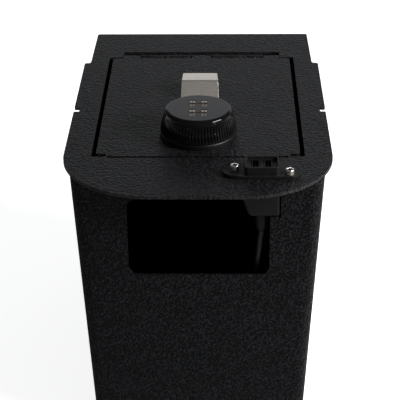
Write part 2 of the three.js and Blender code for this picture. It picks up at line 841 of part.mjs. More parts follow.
function knobBackPlate() {
  const screwHoles = [-knobScrewOffset, knobScrewOffset].map((x) => circle(knobScrewRadius + seatGap, x, 0));
  const square = rectangle(spindleHeadSide + 2 * seatGap, spindleHeadSide + 2 * seatGap);
  const disc = slab(circle(backPlateRadius), knobBottom, backPlateTop, [square, ...screwHoles]);
  const sunk = [-knobScrewOffset, knobScrewOffset].map((x) =>
    post(knobScrewHeadRadius + seatGap, knobBottom - cutMargin, knobBottom + knobScrewHeadHeight + seatGap,
      x, 0));
  const saddleTop = axleHeight - axleRadius - seatGap;
  const outer = axleLength / 2;
  const inner = wheelPitch / 2 + wheelWidth / 2 + 2 * runningGap;
  const middle = wheelPitch / 2 - wheelWidth / 2 - 2 * runningGap;
  const saddles = [-wheelRowOffset, wheelRowOffset].flatMap((row) =>
    [[-outer, -inner], [-middle, middle], [inner, outer]].map(([x0, x1]) =>
      block(x0, x1, row - axleRadius, row + axleRadius, backPlateTop - cutMargin, saddleTop)));
  return piece("knob_back_plate", cut(join(disc, ...saddles), ...sunk), mattBlackPlastic());
}

function knobSpindle() {
  const head = rectangle(spindleHeadSide, spindleHeadSide);
  const shoulder = camTop + seatGap;
  return piece("knob_spindle", join(
    post(spindleFlangeRadius, backPlateTop, backPlateTop + spindleFlangeThickness),
    slab(head, knobBottom, backPlateTop),
    post(spindleRadius, shoulder, knobBottom),
    slab(rectangle(camSquare, camSquare), washerTop, shoulder),
    post(spindleThreadRadius, camNutBottom - spindleEnd, washerTop),
  ), zincSteel());
}

function knobBackScrew(name, x) {
  const headTop = knobBottom + knobScrewHeadHeight;
  const screw = join(
    post(knobScrewHeadRadius, knobBottom, headTop),
    post(knobScrewRadius, knobBottom, knobBottom + knobScrewLength),
  );
  const placed = piece(name, screw, zincSteel());
  placed.position.x = x;
  return placed;
}

function wheelAxle(name, row) {
  const half = axleLength / 2;
  return piece(name, barAlongX(axleRadius, -half, half, row, axleHeight), zincSteel());
}

// A number wheel: a drum with one finger groove between every two numbers
function numberWheel(name, x, row) {
  const grooveAngle = Math.asin(wheelGrooveWidth / wheelRadius / 2);
  const rim = [];
  for (let i = 0; i < wheelGrooves; i += 1) {
    const middle = (i * 2 * Math.PI) / wheelGrooves;
    const next = middle + (2 * Math.PI) / wheelGrooves;
    const bottom = wheelRadius - wheelGrooveDepth;
    rim.push(new THREE.Vector2(bottom * Math.cos(middle), bottom * Math.sin(middle)));
    rim.push(...arc(0, 0, wheelRadius, middle + grooveAngle, next - grooveAngle));
  }
  const drum = slabAlongX(rim, -wheelWidth / 2, wheelWidth / 2, [circle(axleRadius + runningGap)]);
  const wheel = piece(name, drum, warmNickel());
  wheel.position.set(x, row, axleHeight);
  return wheel;
}

function numberWheels() {
  return [["front", -wheelRowOffset], ["rear", wheelRowOffset]].flatMap(([place, row]) => [
    numberWheel(`number_wheel_${place}_left`, -wheelPitch / 2, row),
    numberWheel(`number_wheel_${place}_right`, wheelPitch / 2, row),
  ]);
}

// Spiral slot: the radius grows in step with the angle, so a quarter turn gives the bolt its full throw
function spiralSlot(startAngle) {
  const halfWidth = boltPinRadius + runningGap;
  const growth = boltThrow / camTurn;
  const at = (share) => {
    const angle = startAngle + camTurn * share;
    const radius = boltPinStart + boltThrow * share;
    const out = new THREE.Vector2(Math.cos(angle), Math.sin(angle));
    const along = new THREE.Vector2(-out.y, out.x).multiplyScalar(radius).addScaledVector(out, growth);
    return { centre: out.multiplyScalar(radius), heading: along.angle() };
  };
  const right = [];
  const left = [];
  for (let i = 0; i <= slotSteps; i += 1) {
    const { centre, heading } = at(i / slotSteps);
    const aside = new THREE.Vector2(Math.sin(heading), -Math.cos(heading)).multiplyScalar(halfWidth);
    right.push(centre.clone().add(aside));
    left.unshift(centre.clone().sub(aside));
  }
  const start = at(0);
  const end = at(1);
  const quarter = Math.PI / 2;
  const farEnd = arc(end.centre.x, end.centre.y, halfWidth, end.heading - quarter, end.heading + quarter);
  const nearEnd = arc(start.centre.x, start.centre.y, halfWidth, start.heading + quarter,
    start.heading + 3 * quarter);
  return withoutRepeats([...right, ...farEnd, ...left, ...nearEnd]);
}

const boltAngles = { left: Math.PI, right: 0, front: -Math.PI / 2 };

function camDisc() {
  const side = camSquare + 2 * seatGap;
  const slots = Object.values(boltAngles).map(spiralSlot);
  const disc = slab(circle(camRadius), camBottom, camTop, [rectangle(side, side), ...slots]);
  return piece("cam_disc", disc, zincSteel());
}

function camWasher() {
  const hole = circle(spindleThreadRadius + seatGap);
  return piece("cam_washer", slab(circle(camWasherRadius), washerBottom, washerTop, [hole]), zincSteel());
}

function camNut() {
  const hole = circle(spindleThreadRadius + seatGap);
  return piece("cam_nut", slab(hexagon(camNutAcross), camNutBottom, washerBottom, [hole]), zincSteel());
}

// Bolts and guides are drawn along +X from the knob's axis, then turned to their direction
function bolt(name, end) {
  const half = boltWidth / 2;
  const start = boltPinStart - half;
  const edge = outline([
    [start, -half, half], [end, -half, boltCorner], [end, half, boltCorner], [start, half, half],
  ]);
  const hole = circle(boltPinRadius + seatGap, boltPinStart, 0);
  return piece(name, slab(edge, boltBottom, boltTop, [hole]), brightSteel());
}

function boltPin(name) {
  return piece(name, post(boltPinRadius, camBottom + seatGap, boltTop, boltPinStart, 0), zincSteel());
}

// An angle piece: its foot is welded under the lid and its tab has a window for the bolt
function boltGuide(name, tab, footSide) {
  const high = -lidThickness;
  const low = boltBottom - guideGap - guideBelowBolt;
  const middle = (high + low) / 2;
  const tabEdge = rectangle(guideWidth, high - low, guideThickness, 0, middle);
  const boltMiddle = (boltTop + boltBottom) / 2;
  const opening = rectangle(boltWidth + 2 * guideGap, boltThickness + 2 * guideGap, 0, 0, boltMiddle);
  const plate = slabAlongX(tabEdge, tab, tab + guideThickness, [opening]);
  const footEnd = footSide > 0 ? tab + guideThickness + guideFoot : tab - guideFoot;
  const foot = block(Math.min(tab, footEnd), Math.max(tab + guideThickness, footEnd),
    -guideWidth / 2, guideWidth / 2, high - guideThickness, high);
  return piece(name, join(plate, foot), zincSteel());
}

function turnedTo(angle, ...children) {
  const holder = group(0, 0, 0, ...children);
  holder.rotation.z = angle;
  return holder;
}

function lockWork() {
  return [
    turnedTo(boltAngles.left, bolt("left_bolt", sideBoltEnd), boltPin("left_bolt_pin"),
      boltGuide("left_guide_inner", innerGuideTab, 1), boltGuide("left_guide_outer", outerGuideTab, -1)),
    turnedTo(boltAngles.right, bolt("right_bolt", sideBoltEnd), boltPin("right_bolt_pin"),
      boltGuide("right_guide_inner", innerGuideTab, 1), boltGuide("right_guide_outer", outerGuideTab, -1)),
    turnedTo(boltAngles.front, bolt("front_bolt", frontBoltEnd), boltPin("front_bolt_pin"),
      boltGuide("front_guide", frontGuideTab, -1)),
  ];
}

// Charging socket, drawn about its own centre on the plate
function socketFlange() {
  const left = circle(flangeLeftRadius, ...flangeLeftOffset);
  const right = circle(flangeRightRadius, ...flangeRightOffset);
  const middle = rectangle(
    blockWidth + 2 * flangeRim, blockDepth + 2 * flangeRim, blockCorner, 0, flangeShift);
  return band([...left, ...right, ...middle]);
}

function socketHousing() {
  const screwHoles = [leftScrewOffset, rightScrewOffset].map(([dx, dy]) =>
    circle(screwShankRadius + seatGap, dx, dy));
  const whole = join(
    slab(socketFlange(), 0, flangeThickness, screwHoles),
    slab(rectangle(blockWidth, blockDepth, blockCorner), 0, blockHeight),
    slab(rectangle(neckWidth, neckDepth, neckCorner), -plateThickness - neckBelow, flangeThickness),
  );
  const recessEdge = rectangle(recessWidth, recessDepth, recessCorner, 0, recessShift);
  const recess = slab(recessEdge, recessFloor, blockHeight + cutMargin);
  const pockets = [-portSpacing / 2, portSpacing / 2].map((x) => slab(
    rectangle(portWidth + 2 * seatGap, portLength + 2 * seatGap, 0, x, recessShift),
    portBottom - seatGap, blockHeight + cutMargin));
  return piece("socket_housing", cut(whole, recess, ...pockets), mattBlackPlastic());
}

function socketPort(name, x) {
  const outer = rectangle(portWidth, portLength, 0, x, recessShift);
  const inner = rectangle(portWidth - 2 * portWall, portLength - 2 * portWall, 0, x, recessShift);
  return piece(name, slab(outer, portBottom, portTop, [inner]), blackNickel());
}

function socketTongue(name, x) {
  const length = portLength - 2 * portWall - 2 * seatGap;
  const edge = rectangle(tongueThickness, length, 0, x, recessShift);
  return piece(name, slab(edge, portBottom, portTop - tongueShort), greyPlastic());
}

function socketScrew(name, [x, y]) {
  const headTop = flangeThickness + screwHeadHeight;
  const screw = join(
    post(screwHeadRadius, flangeThickness, headTop, x, y),
    post(screwShankRadius, screwShort - plateThickness, headTop - hexKeyDepth, x, y),
  );
  const key = slab(hexagon(hexKeyAcross, x, y), headTop - hexKeyDepth, headTop + cutMargin);
  return piece(name, cut(screw, key), brightSteel());
}

// Body under the plate: upright near the plate, then drawn in on its left down to its foot
function socketRearBody() {
  const top = -plateThickness - seatGap;
  const edgeCut = bodyCorner / 2;
  const section = (left, inset, height) => {
    const width = left + bodyRight - 2 * inset;
    const depth = bodyFront + bodyRear - 2 * inset;
    const middle = [(bodyRight - left) / 2, (bodyRear - bodyFront) / 2];
    return ringAt(rectangle(width, depth, bodyCorner, ...middle), height);
  };
  const skin = loft([
    section(bodyFootLeft, edgeCut, -bodyBottom),
    section(bodyFootLeft, 0, edgeCut - bodyBottom),
    section(bodyLeft, 0, -bodyStraight),
    section(bodyLeft, 0, top),
  ]);
  const seat = rectangle(neckWidth + 2 * seatGap, neckDepth + 2 * seatGap, neckCorner);
  const pocket = slab(seat, -plateThickness - neckBelow - seatGap, top + cutMargin);
  return piece("socket_rear_body", cut(skin, pocket), greyPlastic());
}

function leadBoss() {
  const top = -bodyBottom - seatGap;
  const bottom = -bodyBottom - bossLength;
  const boss = turned([
    [0, bottom], [bossTipRadius, bottom], [bossRadius, bottom + bossTaper], [bossRadius, top], [0, top],
  ], arcSteps(bossRadius, 2 * Math.PI));
  return piece("lead_boss", boss.translate(...bossOffset, 0), greyPlastic());
}

function socketPieces() {
  return group(socketX, back(socketFromFront), 0,
    socketHousing(),
    socketPort("socket_port_left", -portSpacing / 2),
    socketPort("socket_port_right", portSpacing / 2),
    socketTongue("socket_tongue_left", -portSpacing / 2),
    socketTongue("socket_tongue_right", portSpacing / 2),
    socketScrew("socket_screw_left", leftScrewOffset),
    socketScrew("socket_screw_right", rightScrewOffset),
    socketRearBody(),
    leadBoss(),
  );
}

// Lead and plug, in the safe's own frame
const leadStart = [socketX + bossOffset[0], socketFromFront + bossOffset[1]];
const leadPoints = leadRoute.map(([right, behind, share]) => new THREE.Vector3(
  leadStart[0] + right, back(leadStart[1] + behind), leadLow + share * (leadTop - leadLow)));

function socketLead() {
  const path = new THREE.CatmullRomCurve3(leadPoints, false, "centripetal");
  const section = Array.from({ length: leadSides }, (_, i) => {
    const angle = (2 * Math.PI * i) / leadSides;
    return new THREE.Vector2(leadRadius * Math.cos(angle), leadRadius * Math.sin(angle));
  });
  const tube = new THREE.ExtrudeGeometry(new THREE.Shape(section), { steps: leadSteps, extrudePath: path });
  return piece("socket_lead", tube, leadJacket());
}

function plugGrip() {
  const end = leadPoints.at(-1);
  const right = end.x - seatGap;
  const edge = rectangle(plugGripWidth, plugGripHeight, plugGripCorner, end.y, end.z);
  return piece("plug_grip", slabAlongX(edge, right - plugGripLength, right), mattBlackPlastic());
}

function plugShell() {
  const end = leadPoints.at(-1);
  const right = end.x - seatGap - plugGripLength;
  const outer = rectangle(plugShellWidth, plugShellHeight, 0, end.y, end.z);
  const walls = 2 * plugShellWall;
  const inner = rectangle(plugShellWidth - walls, plugShellHeight - walls, 0, end.y, end.z);
  return piece("plug_shell", slabAlongX(outer, right - plugShellLength, right, [inner]), brightSteel());
}

const knob = group(0, 0, 0,
  knobShell(), knobBackPlate(), knobSpindle(),
  knobBackScrew("knob_back_screw_left", -knobScrewOffset),
  knobBackScrew("knob_back_screw_right", knobScrewOffset),
  wheelAxle("wheel_axle_front", -wheelRowOffset), wheelAxle("wheel_axle_rear", wheelRowOffset),
  ...numberWheels(), camDisc(), camWasher(), camNut(),
);

const lock = group(0, back(knobFromFront), 0,
  pullHandle(), knobRose(), lockSleeve(), lockNut(), knob, ...lockWork(),
);

const topWork = group(0, 0, safeHeight,
  topPlate(), ...lidRests(), hingeLeaf(), hingePin(), lidPanel(), lock, socketPieces(),
);

const safe = new THREE.Group();
safe.add(
  floorPanel(), boxShell(), backPanel(), topWork, socketLead(), plugGrip(), plugShell(),
);

export default safe;
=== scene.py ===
# %% [markdown]
# # Dressing a console safe
#
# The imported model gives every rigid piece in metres, in one fixed frame: X to the right, Y to the back, Z up.
# It is exact, but its edges are sharp and it has no finish. This lesson adds the camera, the lead, the
# finishes and the fine detail: rounded edges, turned screws, a grooved knob and number wheels with digits.
# The solids stay where they are. A copy or a new mesh stands for a solid where it needs more detail.
# The safe's own sizes are written in millimetres, and `MM` turns them into metres. The camera, the lights
# and the room are in metres.

import json
import math

import bmesh
import bpy
from mathutils import Matrix, Vector

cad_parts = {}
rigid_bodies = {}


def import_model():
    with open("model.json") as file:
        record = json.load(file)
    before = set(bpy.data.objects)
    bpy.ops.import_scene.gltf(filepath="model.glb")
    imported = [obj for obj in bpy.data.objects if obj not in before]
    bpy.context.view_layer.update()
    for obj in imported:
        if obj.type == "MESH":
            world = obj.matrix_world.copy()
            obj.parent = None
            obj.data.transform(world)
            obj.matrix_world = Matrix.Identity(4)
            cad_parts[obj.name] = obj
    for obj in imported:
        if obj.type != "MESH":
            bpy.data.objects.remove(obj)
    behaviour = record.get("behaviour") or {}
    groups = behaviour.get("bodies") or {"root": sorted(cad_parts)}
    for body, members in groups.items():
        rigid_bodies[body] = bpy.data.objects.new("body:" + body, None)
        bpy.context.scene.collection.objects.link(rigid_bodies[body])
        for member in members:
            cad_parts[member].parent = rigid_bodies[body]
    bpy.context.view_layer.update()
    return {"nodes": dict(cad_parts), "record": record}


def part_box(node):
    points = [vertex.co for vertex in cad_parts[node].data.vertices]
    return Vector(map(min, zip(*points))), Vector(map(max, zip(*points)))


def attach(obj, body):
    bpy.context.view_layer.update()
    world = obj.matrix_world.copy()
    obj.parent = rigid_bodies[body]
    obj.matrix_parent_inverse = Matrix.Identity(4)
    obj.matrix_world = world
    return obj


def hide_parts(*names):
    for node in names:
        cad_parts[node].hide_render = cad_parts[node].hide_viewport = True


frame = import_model()
nodes = frame["nodes"]
MM = 0.001
body_of = {name: body for body, names in frame["record"]["behaviour"]["bodies"].items() for name in names}
slot_of = {entry["node"]: entry["material_slot"] for entry in frame["record"]["subparts"]}

# %% [markdown]
# ## The camera
#
# A camera can be placed by eye or fitted to the outline of a thing whose size is known. This one was fitted,
# to the outline of the plate and the box. A focal length of 1360 pixels on a frame 400 pixels wide is a lens
# of about 122 mm. It stands 1.1 m in front of the safe and 0.75 m up, and looks 28 degrees down. Its axes
# are worked out from three angles, since a target to look at would lose the camera's small roll.

# %% Camera
PHOTO_PIXELS = 400
SENSOR_MM = 36.0
FOCAL_PIXELS = 1360.0
CAMERA_PLACE = Vector((0.0205, -1.11163, 0.74901))
YAW, PITCH, ROLL = -0.018849, 0.488691, -0.0089847

forward = Vector((math.sin(YAW) * math.cos(PITCH), math.cos(YAW) * math.cos(PITCH), -math.sin(PITCH)))
level_right = Vector((math.cos(YAW), -math.sin(YAW), 0.0))
level_up = level_right.cross(forward)
right = level_right * math.cos(ROLL) + level_up * math.sin(ROLL)
up = level_up * math.cos(ROLL) - level_right * math.sin(ROLL)

camera_data = bpy.data.cameras.new("camera")
camera_data.sensor_width = SENSOR_MM
camera_data.lens = SENSOR_MM * FOCAL_PIXELS / PHOTO_PIXELS
camera = bpy.data.objects.new("camera", camera_data)
bpy.context.scene.collection.objects.link(camera)
camera_axes = Matrix((right, up, -forward)).transposed()
camera.matrix_world = Matrix.Translation(CAMERA_PLACE) @ camera_axes.to_4x4()
bpy.context.scene.camera = camera
print(f"lens {camera_data.lens:.1f} mm, looking {math.degrees(PITCH):.0f} degrees down")

# %% [markdown]
# ## The lead's route
#
# The lead leaves the boss under the socket, hangs to the floor of the box and lies there in front of the
# load. Its points are those of the part's source: x, distance back from the plate's front edge, height.
# Straight runs between them would show as kinks, and a curve that its points only pull on would leave the
# solid that it stands for. So each span is a cubic that passes through both its ends, and neighbouring spans
# share a direction where they meet.

# %% The lead's route
HALF_PLATE = 175.0
LEAD_DIAMETER = 0.0057  # metres, as the frame asks for it
LEAD_ROUTE = [
    (53, 44.5, 199.42), (52.8, 44.5, 197.09), (52.1, 44.5, 193.4), (51.6, 44.6, 188.15), (51, 44.7, 181.16),
    (50, 45, 172.03), (48.3, 46, 152.02), (46, 48, 124.05), (43, 51, 94.13), (39.5, 54, 64.22),
    (35, 56.5, 38.19), (28, 58, 19.35), (17.5, 59, 8.96), (5, 60, 6.04), (-8, 60.5, 5.75),
    (-20, 61, 5.94), (-29, 61, 6.62), (-36, 61, 6.82),
]


def smooth_route(points, per_span=6):
    """Points along a smooth curve through the given ones."""
    padded = [points[0] * 2 - points[1], *points, points[-1] * 2 - points[-2]]
    route = []
    for a, b, c, d in zip(padded, padded[1:], padded[2:], padded[3:]):
        for step in range(per_span):
            t = step / per_span
            route.append(0.5 * (2 * b + (c - a) * t + (2 * a - 5 * b + 4 * c - d) * t ** 2
                                + (3 * b - a - 3 * c + d) * t ** 3))
    return [*route, points[-1]]


lead_line = smooth_route([Vector((x, y - HALF_PLATE, z)) for x, y, z in LEAD_ROUTE])

# %% [markdown]
# ## Lofts and tubes
#
# A loft is a row of rings with equally many points, joined by faces and capped at both ends. It can make the
# lead, the screws and the knob. A tube is a loft whose rings stand square to a route. If each ring were
# turned afresh, the tube would twist, so each one is turned as little as can be from the one before.

# %% Lofts and tubes


def loft(rings):
    """A closed mesh through rings of equally many points, in millimetres; the first and last are capped."""
    mesh = bmesh.new()
    made = [[mesh.verts.new(Vector(point) * MM) for point in ring] for ring in rings]
    for low, high in zip(made, made[1:]):
        for i in range(len(low)):
            j = (i + 1) % len(low)
            mesh.faces.new((low[i], low[j], high[j], high[i]))
    mesh.faces.new(made[0][::-1])
    mesh.faces.new(made[-1])
    return mesh


def tube(points, radius, sides=18):
    """A round tube along the points."""
    rings = []
    side = Vector((1, 0, 0))
    for i, point in enumerate(points):
        along = (points[min(i + 1, len(points) - 1)] - points[max(i - 1, 0)]).normalized()
        side = (side - along * side.dot(along)).normalized()
        other = along.cross(side)
        angles = [2 * math.pi * step / sides for step in range(sides)]
        rings.append([point + (side * math.cos(a) + other * math.sin(a)) * radius for a in angles])
    return loft(rings)


lead_mesh = tube(lead_line, LEAD_DIAMETER / 2 / MM)
print("lead", len(lead_mesh.faces), "faces")

# %% [markdown]
# ## The lead as a piece
#
# A mesh becomes an object that rides on the safe's body, and the node that it stands for is hidden. Its
# finish is given with the others below. Only the tube's sides are smooth, and its two caps stay flat.

# %% The lead as a piece
lead_data = bpy.data.meshes.new("lead")
lead_mesh.to_mesh(lead_data)
lead_mesh.free()
lead_data.polygons.foreach_set("use_smooth", [len(p.vertices) == 4 for p in lead_data.polygons])
lead = bpy.data.objects.new("lead", lead_data)
bpy.context.scene.collection.objects.link(lead)
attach(lead, "safe")
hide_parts("socket_lead")
print(lead.name, "stands for socket_lead")

# %% [markdown]
# ## Finishes
#
# Every finish is a node material, so that it has grain at the right scale and renders the same each time. One
# function adds a node with its settings and its incoming links, and each material below then reads as a
# short list. Colours are written as sRGB hex values, as a colour picker shows them, and `linear` turns them
# into the linear ones that Blender mixes light in. Grain is given in millimetres.

# %% Material helpers


def linear(hex_colour):
    """A linear colour from an sRGB one such as "2a2a2c"."""
    parts = [int(hex_colour[i:i + 2], 16) / 255 for i in (0, 2, 4)]
    return (*[p / 12.92 if p <= 0.04045 else ((p + 0.055) / 1.055) ** 2.4 for p in parts], 1.0)


def per_mm(size):
    """Texture scale, in metres of object space, for a pattern whose grain is that many millimetres."""
    return 1.0 / (size * MM)


def add(tree, kind, links=(), **settings):
    """Adds a node. Settings name an input or a property; links are (input, output socket) pairs."""
    node = tree.nodes.new(kind)
    for name, value in settings.items():
        label = name.replace("_", " ")
        socket = next((s for s in node.inputs if s.name.lower() == label and s.enabled), None)
        if socket is not None:
            socket.default_value = value
        else:
            setattr(node, name, value)
    for name, source in links:
        target = node.inputs[name] if isinstance(name, int) else next(
            s for s in node.inputs if s.name == name and s.enabled)
        tree.links.new(source, target)
    return node


def new_material(name):
    """An empty node material, and its tree."""
    material = bpy.data.materials.new(name)
    material.use_nodes = True
    material.node_tree.nodes.clear()
    return material, material.node_tree


# Nearly all values of a noise lie between these two, so they stand for its lows and highs.
NOISE_LOW, NOISE_HIGH = 0.3, 0.7
finishes = {}
print("sRGB 808080 is", round(linear("808080")[0], 3), "linear")

# %% [markdown]
# ### Powder coat
#
# Textured powder coat is sprayed as a dry dust and baked until it melts. It flows into small hills. The relief
# alone would need strong light to show on black, and colour alone would look printed, so one noise draws the
# hills in both: the tops are painted paler, as painted highlight, and the hollows darker, as painted shade. A
# finer one varies the gloss. Real hills are 1 mm wide or less, which is one pixel here, so they are drawn about
# twice as wide as that.

# %% Powder coats
POWDER_ROUGHNESS, POWDER_VARIATION = 0.5, 0.08
GRIT_SHARE = 0.4


def powder_coat(name, dark, pale, specks, hill, height, specular):
    """Hollows get painted shade and tops painted highlight; specks says where in the noise the colour changes.
    """
    material, tree = new_material(name)
    where = add(tree, "ShaderNodeTexCoord")
    hills = add(tree, "ShaderNodeTexNoise", [("Vector", where.outputs["Object"])], scale=per_mm(hill),
                detail=1.0, roughness=0.4)
    grit = add(tree, "ShaderNodeTexNoise", [("Vector", where.outputs["Object"])],
               scale=per_mm(hill * GRIT_SHARE), detail=1.0, roughness=0.5)
    colour = add(tree, "ShaderNodeValToRGB", [("Fac", hills.outputs["Fac"])])
    for stop, position, shade_hex in zip(colour.color_ramp.elements, specks, (dark, pale)):
        stop.position = position
        stop.color = linear(shade_hex)
    gloss = add(tree, "ShaderNodeMapRange", [("Value", grit.outputs["Fac"])], from_min=NOISE_LOW,
                from_max=NOISE_HIGH, to_min=POWDER_ROUGHNESS - POWDER_VARIATION,
                to_max=POWDER_ROUGHNESS + POWDER_VARIATION)
    relief = add(tree, "ShaderNodeBump", [("Height", hills.outputs["Fac"])], strength=1.0,
                 distance=height * MM)
    shader = add(tree, "ShaderNodeBsdfPrincipled", [
        ("Base Color", colour.outputs["Color"]), ("Roughness", gloss.outputs["Result"]),
        ("Normal", relief.outputs["Normal"])], specular_ior_level=specular)
    add(tree, "ShaderNodeOutputMaterial", [("Surface", shader.outputs["BSDF"])])
    return material


# Fine black powder coat on the plate and lid: an even, satin grain that mirrors the light behind it softly,
# with painted highlight on its hill tops and painted shade in its hollows.
finishes["fine_powder_coat"] = powder_coat(
    "sprayed_powder_coat_fine", dark="040405", pale="18181a", specks=(0.36, 0.64), hill=2.6, height=1.3,
    specular=0.2)
# Coarse black powder coat on the box: dull and dark, with pale specks painted on the hill tops as painted
# highlight where they catch the light, and painted shade in the hollows.
finishes["coarse_powder_coat"] = powder_coat(
    "sprayed_powder_coat_coarse", dark="060607", pale="222225", specks=(0.46, 0.74), hill=1.9, height=1.3,
    specular=0.06)
print("powder coats:", ", ".join(finishes))

# %% [markdown]
# ### Metals
#
# A metal's colour is the colour of its reflection, so it needs the full metallic value and a pale colour. How
# it was worked decides the rest. Brushing draws long scratches, so the noise is stretched along the strokes.
# Plating is smooth and only a little cloudy. Scratches are some hundredths of a millimetre wide, too fine to
# show, and are drawn a quarter of a millimetre wide or more.

# %% Metals


def metal(name, colour, roughness, grain_mm, stretch=(1, 1, 1), variation=0.08, height=0.004):
    """Metal with a grain in gloss and relief; stretch below one draws the grain long along that axis."""
    material, tree = new_material(name)
    where = add(tree, "ShaderNodeTexCoord")
    drawn = add(tree, "ShaderNodeMapping", [("Vector", where.outputs["Object"])], scale=stretch)
    grain = add(tree, "ShaderNodeTexNoise", [("Vector", drawn.outputs["Vector"])], scale=per_mm(grain_mm),
                detail=4.0, roughness=0.65)
    gloss = add(tree, "ShaderNodeMapRange", [("Value", grain.outputs["Fac"])], from_min=NOISE_LOW,
                from_max=NOISE_HIGH, to_min=roughness - variation, to_max=roughness + variation)
    relief = add(tree, "ShaderNodeBump", [("Height", grain.outputs["Fac"])], strength=1.0,
                 distance=height * MM)
    shader = add(tree, "ShaderNodeBsdfPrincipled", [
        ("Roughness", gloss.outputs["Result"]), ("Normal", relief.outputs["Normal"])],
        base_color=linear(colour), metallic=1.0)
    add(tree, "ShaderNodeOutputMaterial", [("Surface", shader.outputs["BSDF"])])
    return material


# Stainless steel, brushed across the pull: a warm, soft mirror with faint lines from side to side.
finishes["stainless_steel"] = metal("brushed_stainless_steel", "ebe2d8", 0.3, 0.25, stretch=(0.04, 1, 1))
# Zinc-plated steel of the lock work: a cool, slightly cloudy grey.
finishes["zinc_steel"] = metal("zinc_plated_steel", "a9abad", 0.38, 1.2)
# Bright-plated steel of bolts and screws: the sharpest mirror on the safe.
finishes["bright_steel"] = metal("bright_plated_steel", "d8d8d6", 0.2, 0.8, variation=0.05, height=0.002)
# Black nickel plate on the port shells: dark metal that shows only a faint glint.
finishes["black_nickel"] = metal("black_nickel_plated_steel", "2e2e2e", 0.42, 0.6)
# Satin nickel plate on the number wheels, brushed along the axle: warm and pale behind the windows.
finishes["warm_nickel"] = metal("satin_nickel_plated_brass", "d4c7bb", 0.34, 0.4, stretch=(0.1, 1, 1))
print("finishes so far:", ", ".join(finishes))

# %% [markdown]
# ### Plastics and paints
#
# Black plastic is nearly colourless: what tells one from another is the gloss that its mould gives it. A
# polished mould gives a sharp mirror, an etched one a grain about a tenth of a millimetre wide. That is too
# fine to show, so it is drawn a third of a millimetre wide or more. Each finish has its grain in relief, and
# a slow cloud twelve times as wide in its gloss, as hands and wear leave it.

# %% Plastics
CLOUD_TIMES = 12
WEAR = 0.15


def plastic(name, colour, roughness, grain_mm, height, specular=0.5):
    """Moulded plastic or paint with a grain of that width and height, both in millimetres."""
    material, tree = new_material(name)
    where = add(tree, "ShaderNodeTexCoord")
    grain = add(tree, "ShaderNodeTexNoise", [("Vector", where.outputs["Object"])], scale=per_mm(grain_mm),
                detail=2.0, roughness=0.5)
    cloud = add(tree, "ShaderNodeTexNoise", [("Vector", where.outputs["Object"])],
                scale=per_mm(grain_mm * CLOUD_TIMES), detail=2.0, roughness=0.5)
    gloss = add(tree, "ShaderNodeMapRange", [("Value", cloud.outputs["Fac"])], from_min=NOISE_LOW,
                from_max=NOISE_HIGH, to_min=roughness * (1 - WEAR), to_max=roughness * (1 + WEAR))
    relief = add(tree, "ShaderNodeBump", [("Height", grain.outputs["Fac"])], strength=1.0,
                 distance=height * MM)
    shader = add(tree, "ShaderNodeBsdfPrincipled", [
        ("Roughness", gloss.outputs["Result"]), ("Normal", relief.outputs["Normal"])],
        base_color=linear(colour), specular_ior_level=specular)
    add(tree, "ShaderNodeOutputMaterial", [("Surface", shader.outputs["BSDF"])])
    return material


# ABS from a polished mould, for the knob: black with a sharp streak where the shoulder mirrors a light.
finishes["gloss_black_plastic"] = plastic("polished_moulded_abs", "0b0b0c", 0.08, 1.6, 0.002, specular=0.155)
# The same ABS from a satin mould, for the rose under the knob: black, with no line of light at its foot.
satin_abs = plastic("satin_moulded_abs", "09090a", 0.42, 1.2, 0.002, specular=0.25)
# Glass-filled nylon from an etched mould, for the socket: matt, with a grain that takes the light evenly.
finishes["matt_black_plastic"] = plastic("grained_moulded_nylon", "0d0d0e", 0.55, 0.35, 0.02, specular=0.25)
# ABS from an etched mould, for what hangs under the plate: its grey is painted down to near black as painted
# shade under the plate, and it is just seen against the black inside.
finishes["grey_plastic"] = plastic("etched_moulded_abs", "050506", 0.5, 0.4, 0.015, specular=0.15)
# PVC drawn through a die, for the lead: soft, with a dull line of light along it.
finishes["lead_jacket"] = plastic("extruded_pvc_jacket", "0c0d0e", 0.5, 0.5, 0.01, specular=0.3)
# Enamel wiped into the digits: flat dark grey on the pale wheel.
digit_paint = plastic("wiped_digit_enamel", "141414", 0.5, 0.3, 0.005)
print(len(finishes), "finishes for", len(set(slot_of.values())), "slots")

# %% [markdown]
# ### Who wears what
#
# The part's record names a finish slot for each node. Each node gets the material of its slot, also where a
# copy will stand for it, so that nothing is left bare.

# %% Give the finishes to the nodes
lead.data.materials.append(finishes["lead_jacket"])
for name, node in nodes.items():
    node.data.materials.clear()
    node.data.materials.append(finishes[slot_of[name]])
print(len(finishes), "finishes on", len(nodes), "nodes")

# %% [markdown]
# ## Copies with rounded edges
#
# Sheet metal and mouldings have no knife edges: shears, moulds and thick paint leave a small radius, and it
# draws a thin bright line. Each solid that comes into view, also with the lid open, is copied. Its triangles
# are first joined to whole faces, since a bevel would otherwise round the cuts between them too.

# %% Copies that stand for nodes
SAME_PLACE = 1e-6
SAME_PLANE_DEGREES = 0.4


def merged_mesh(source):
    """The node's mesh with its split corners joined and its coplanar triangles made into whole faces."""
    mesh = bmesh.new()
    mesh.from_mesh(source.data)
    bmesh.ops.remove_doubles(mesh, verts=mesh.verts, dist=SAME_PLACE)
    bmesh.ops.dissolve_limit(mesh, angle_limit=math.radians(SAME_PLANE_DEGREES), verts=mesh.verts,
                             edges=mesh.edges)
    return mesh


def finished_piece(name, mesh, node_names):
    """Makes an object of the mesh, stands it for the named nodes and lets it ride on their body."""
    data = bpy.data.meshes.new(name)
    mesh.to_mesh(data)
    mesh.free()
    piece = bpy.data.objects.new(name, data)
    bpy.context.scene.collection.objects.link(piece)
    piece.data.materials.append(finishes[slot_of[node_names[0]]])
    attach(piece, body_of[node_names[0]])
    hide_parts(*node_names)
    return piece


whole_lid = merged_mesh(nodes["lid_panel"])
print("lid_panel", len(nodes["lid_panel"].data.polygons), "triangles,", len(whole_lid.faces), "whole faces")
whole_lid.free()

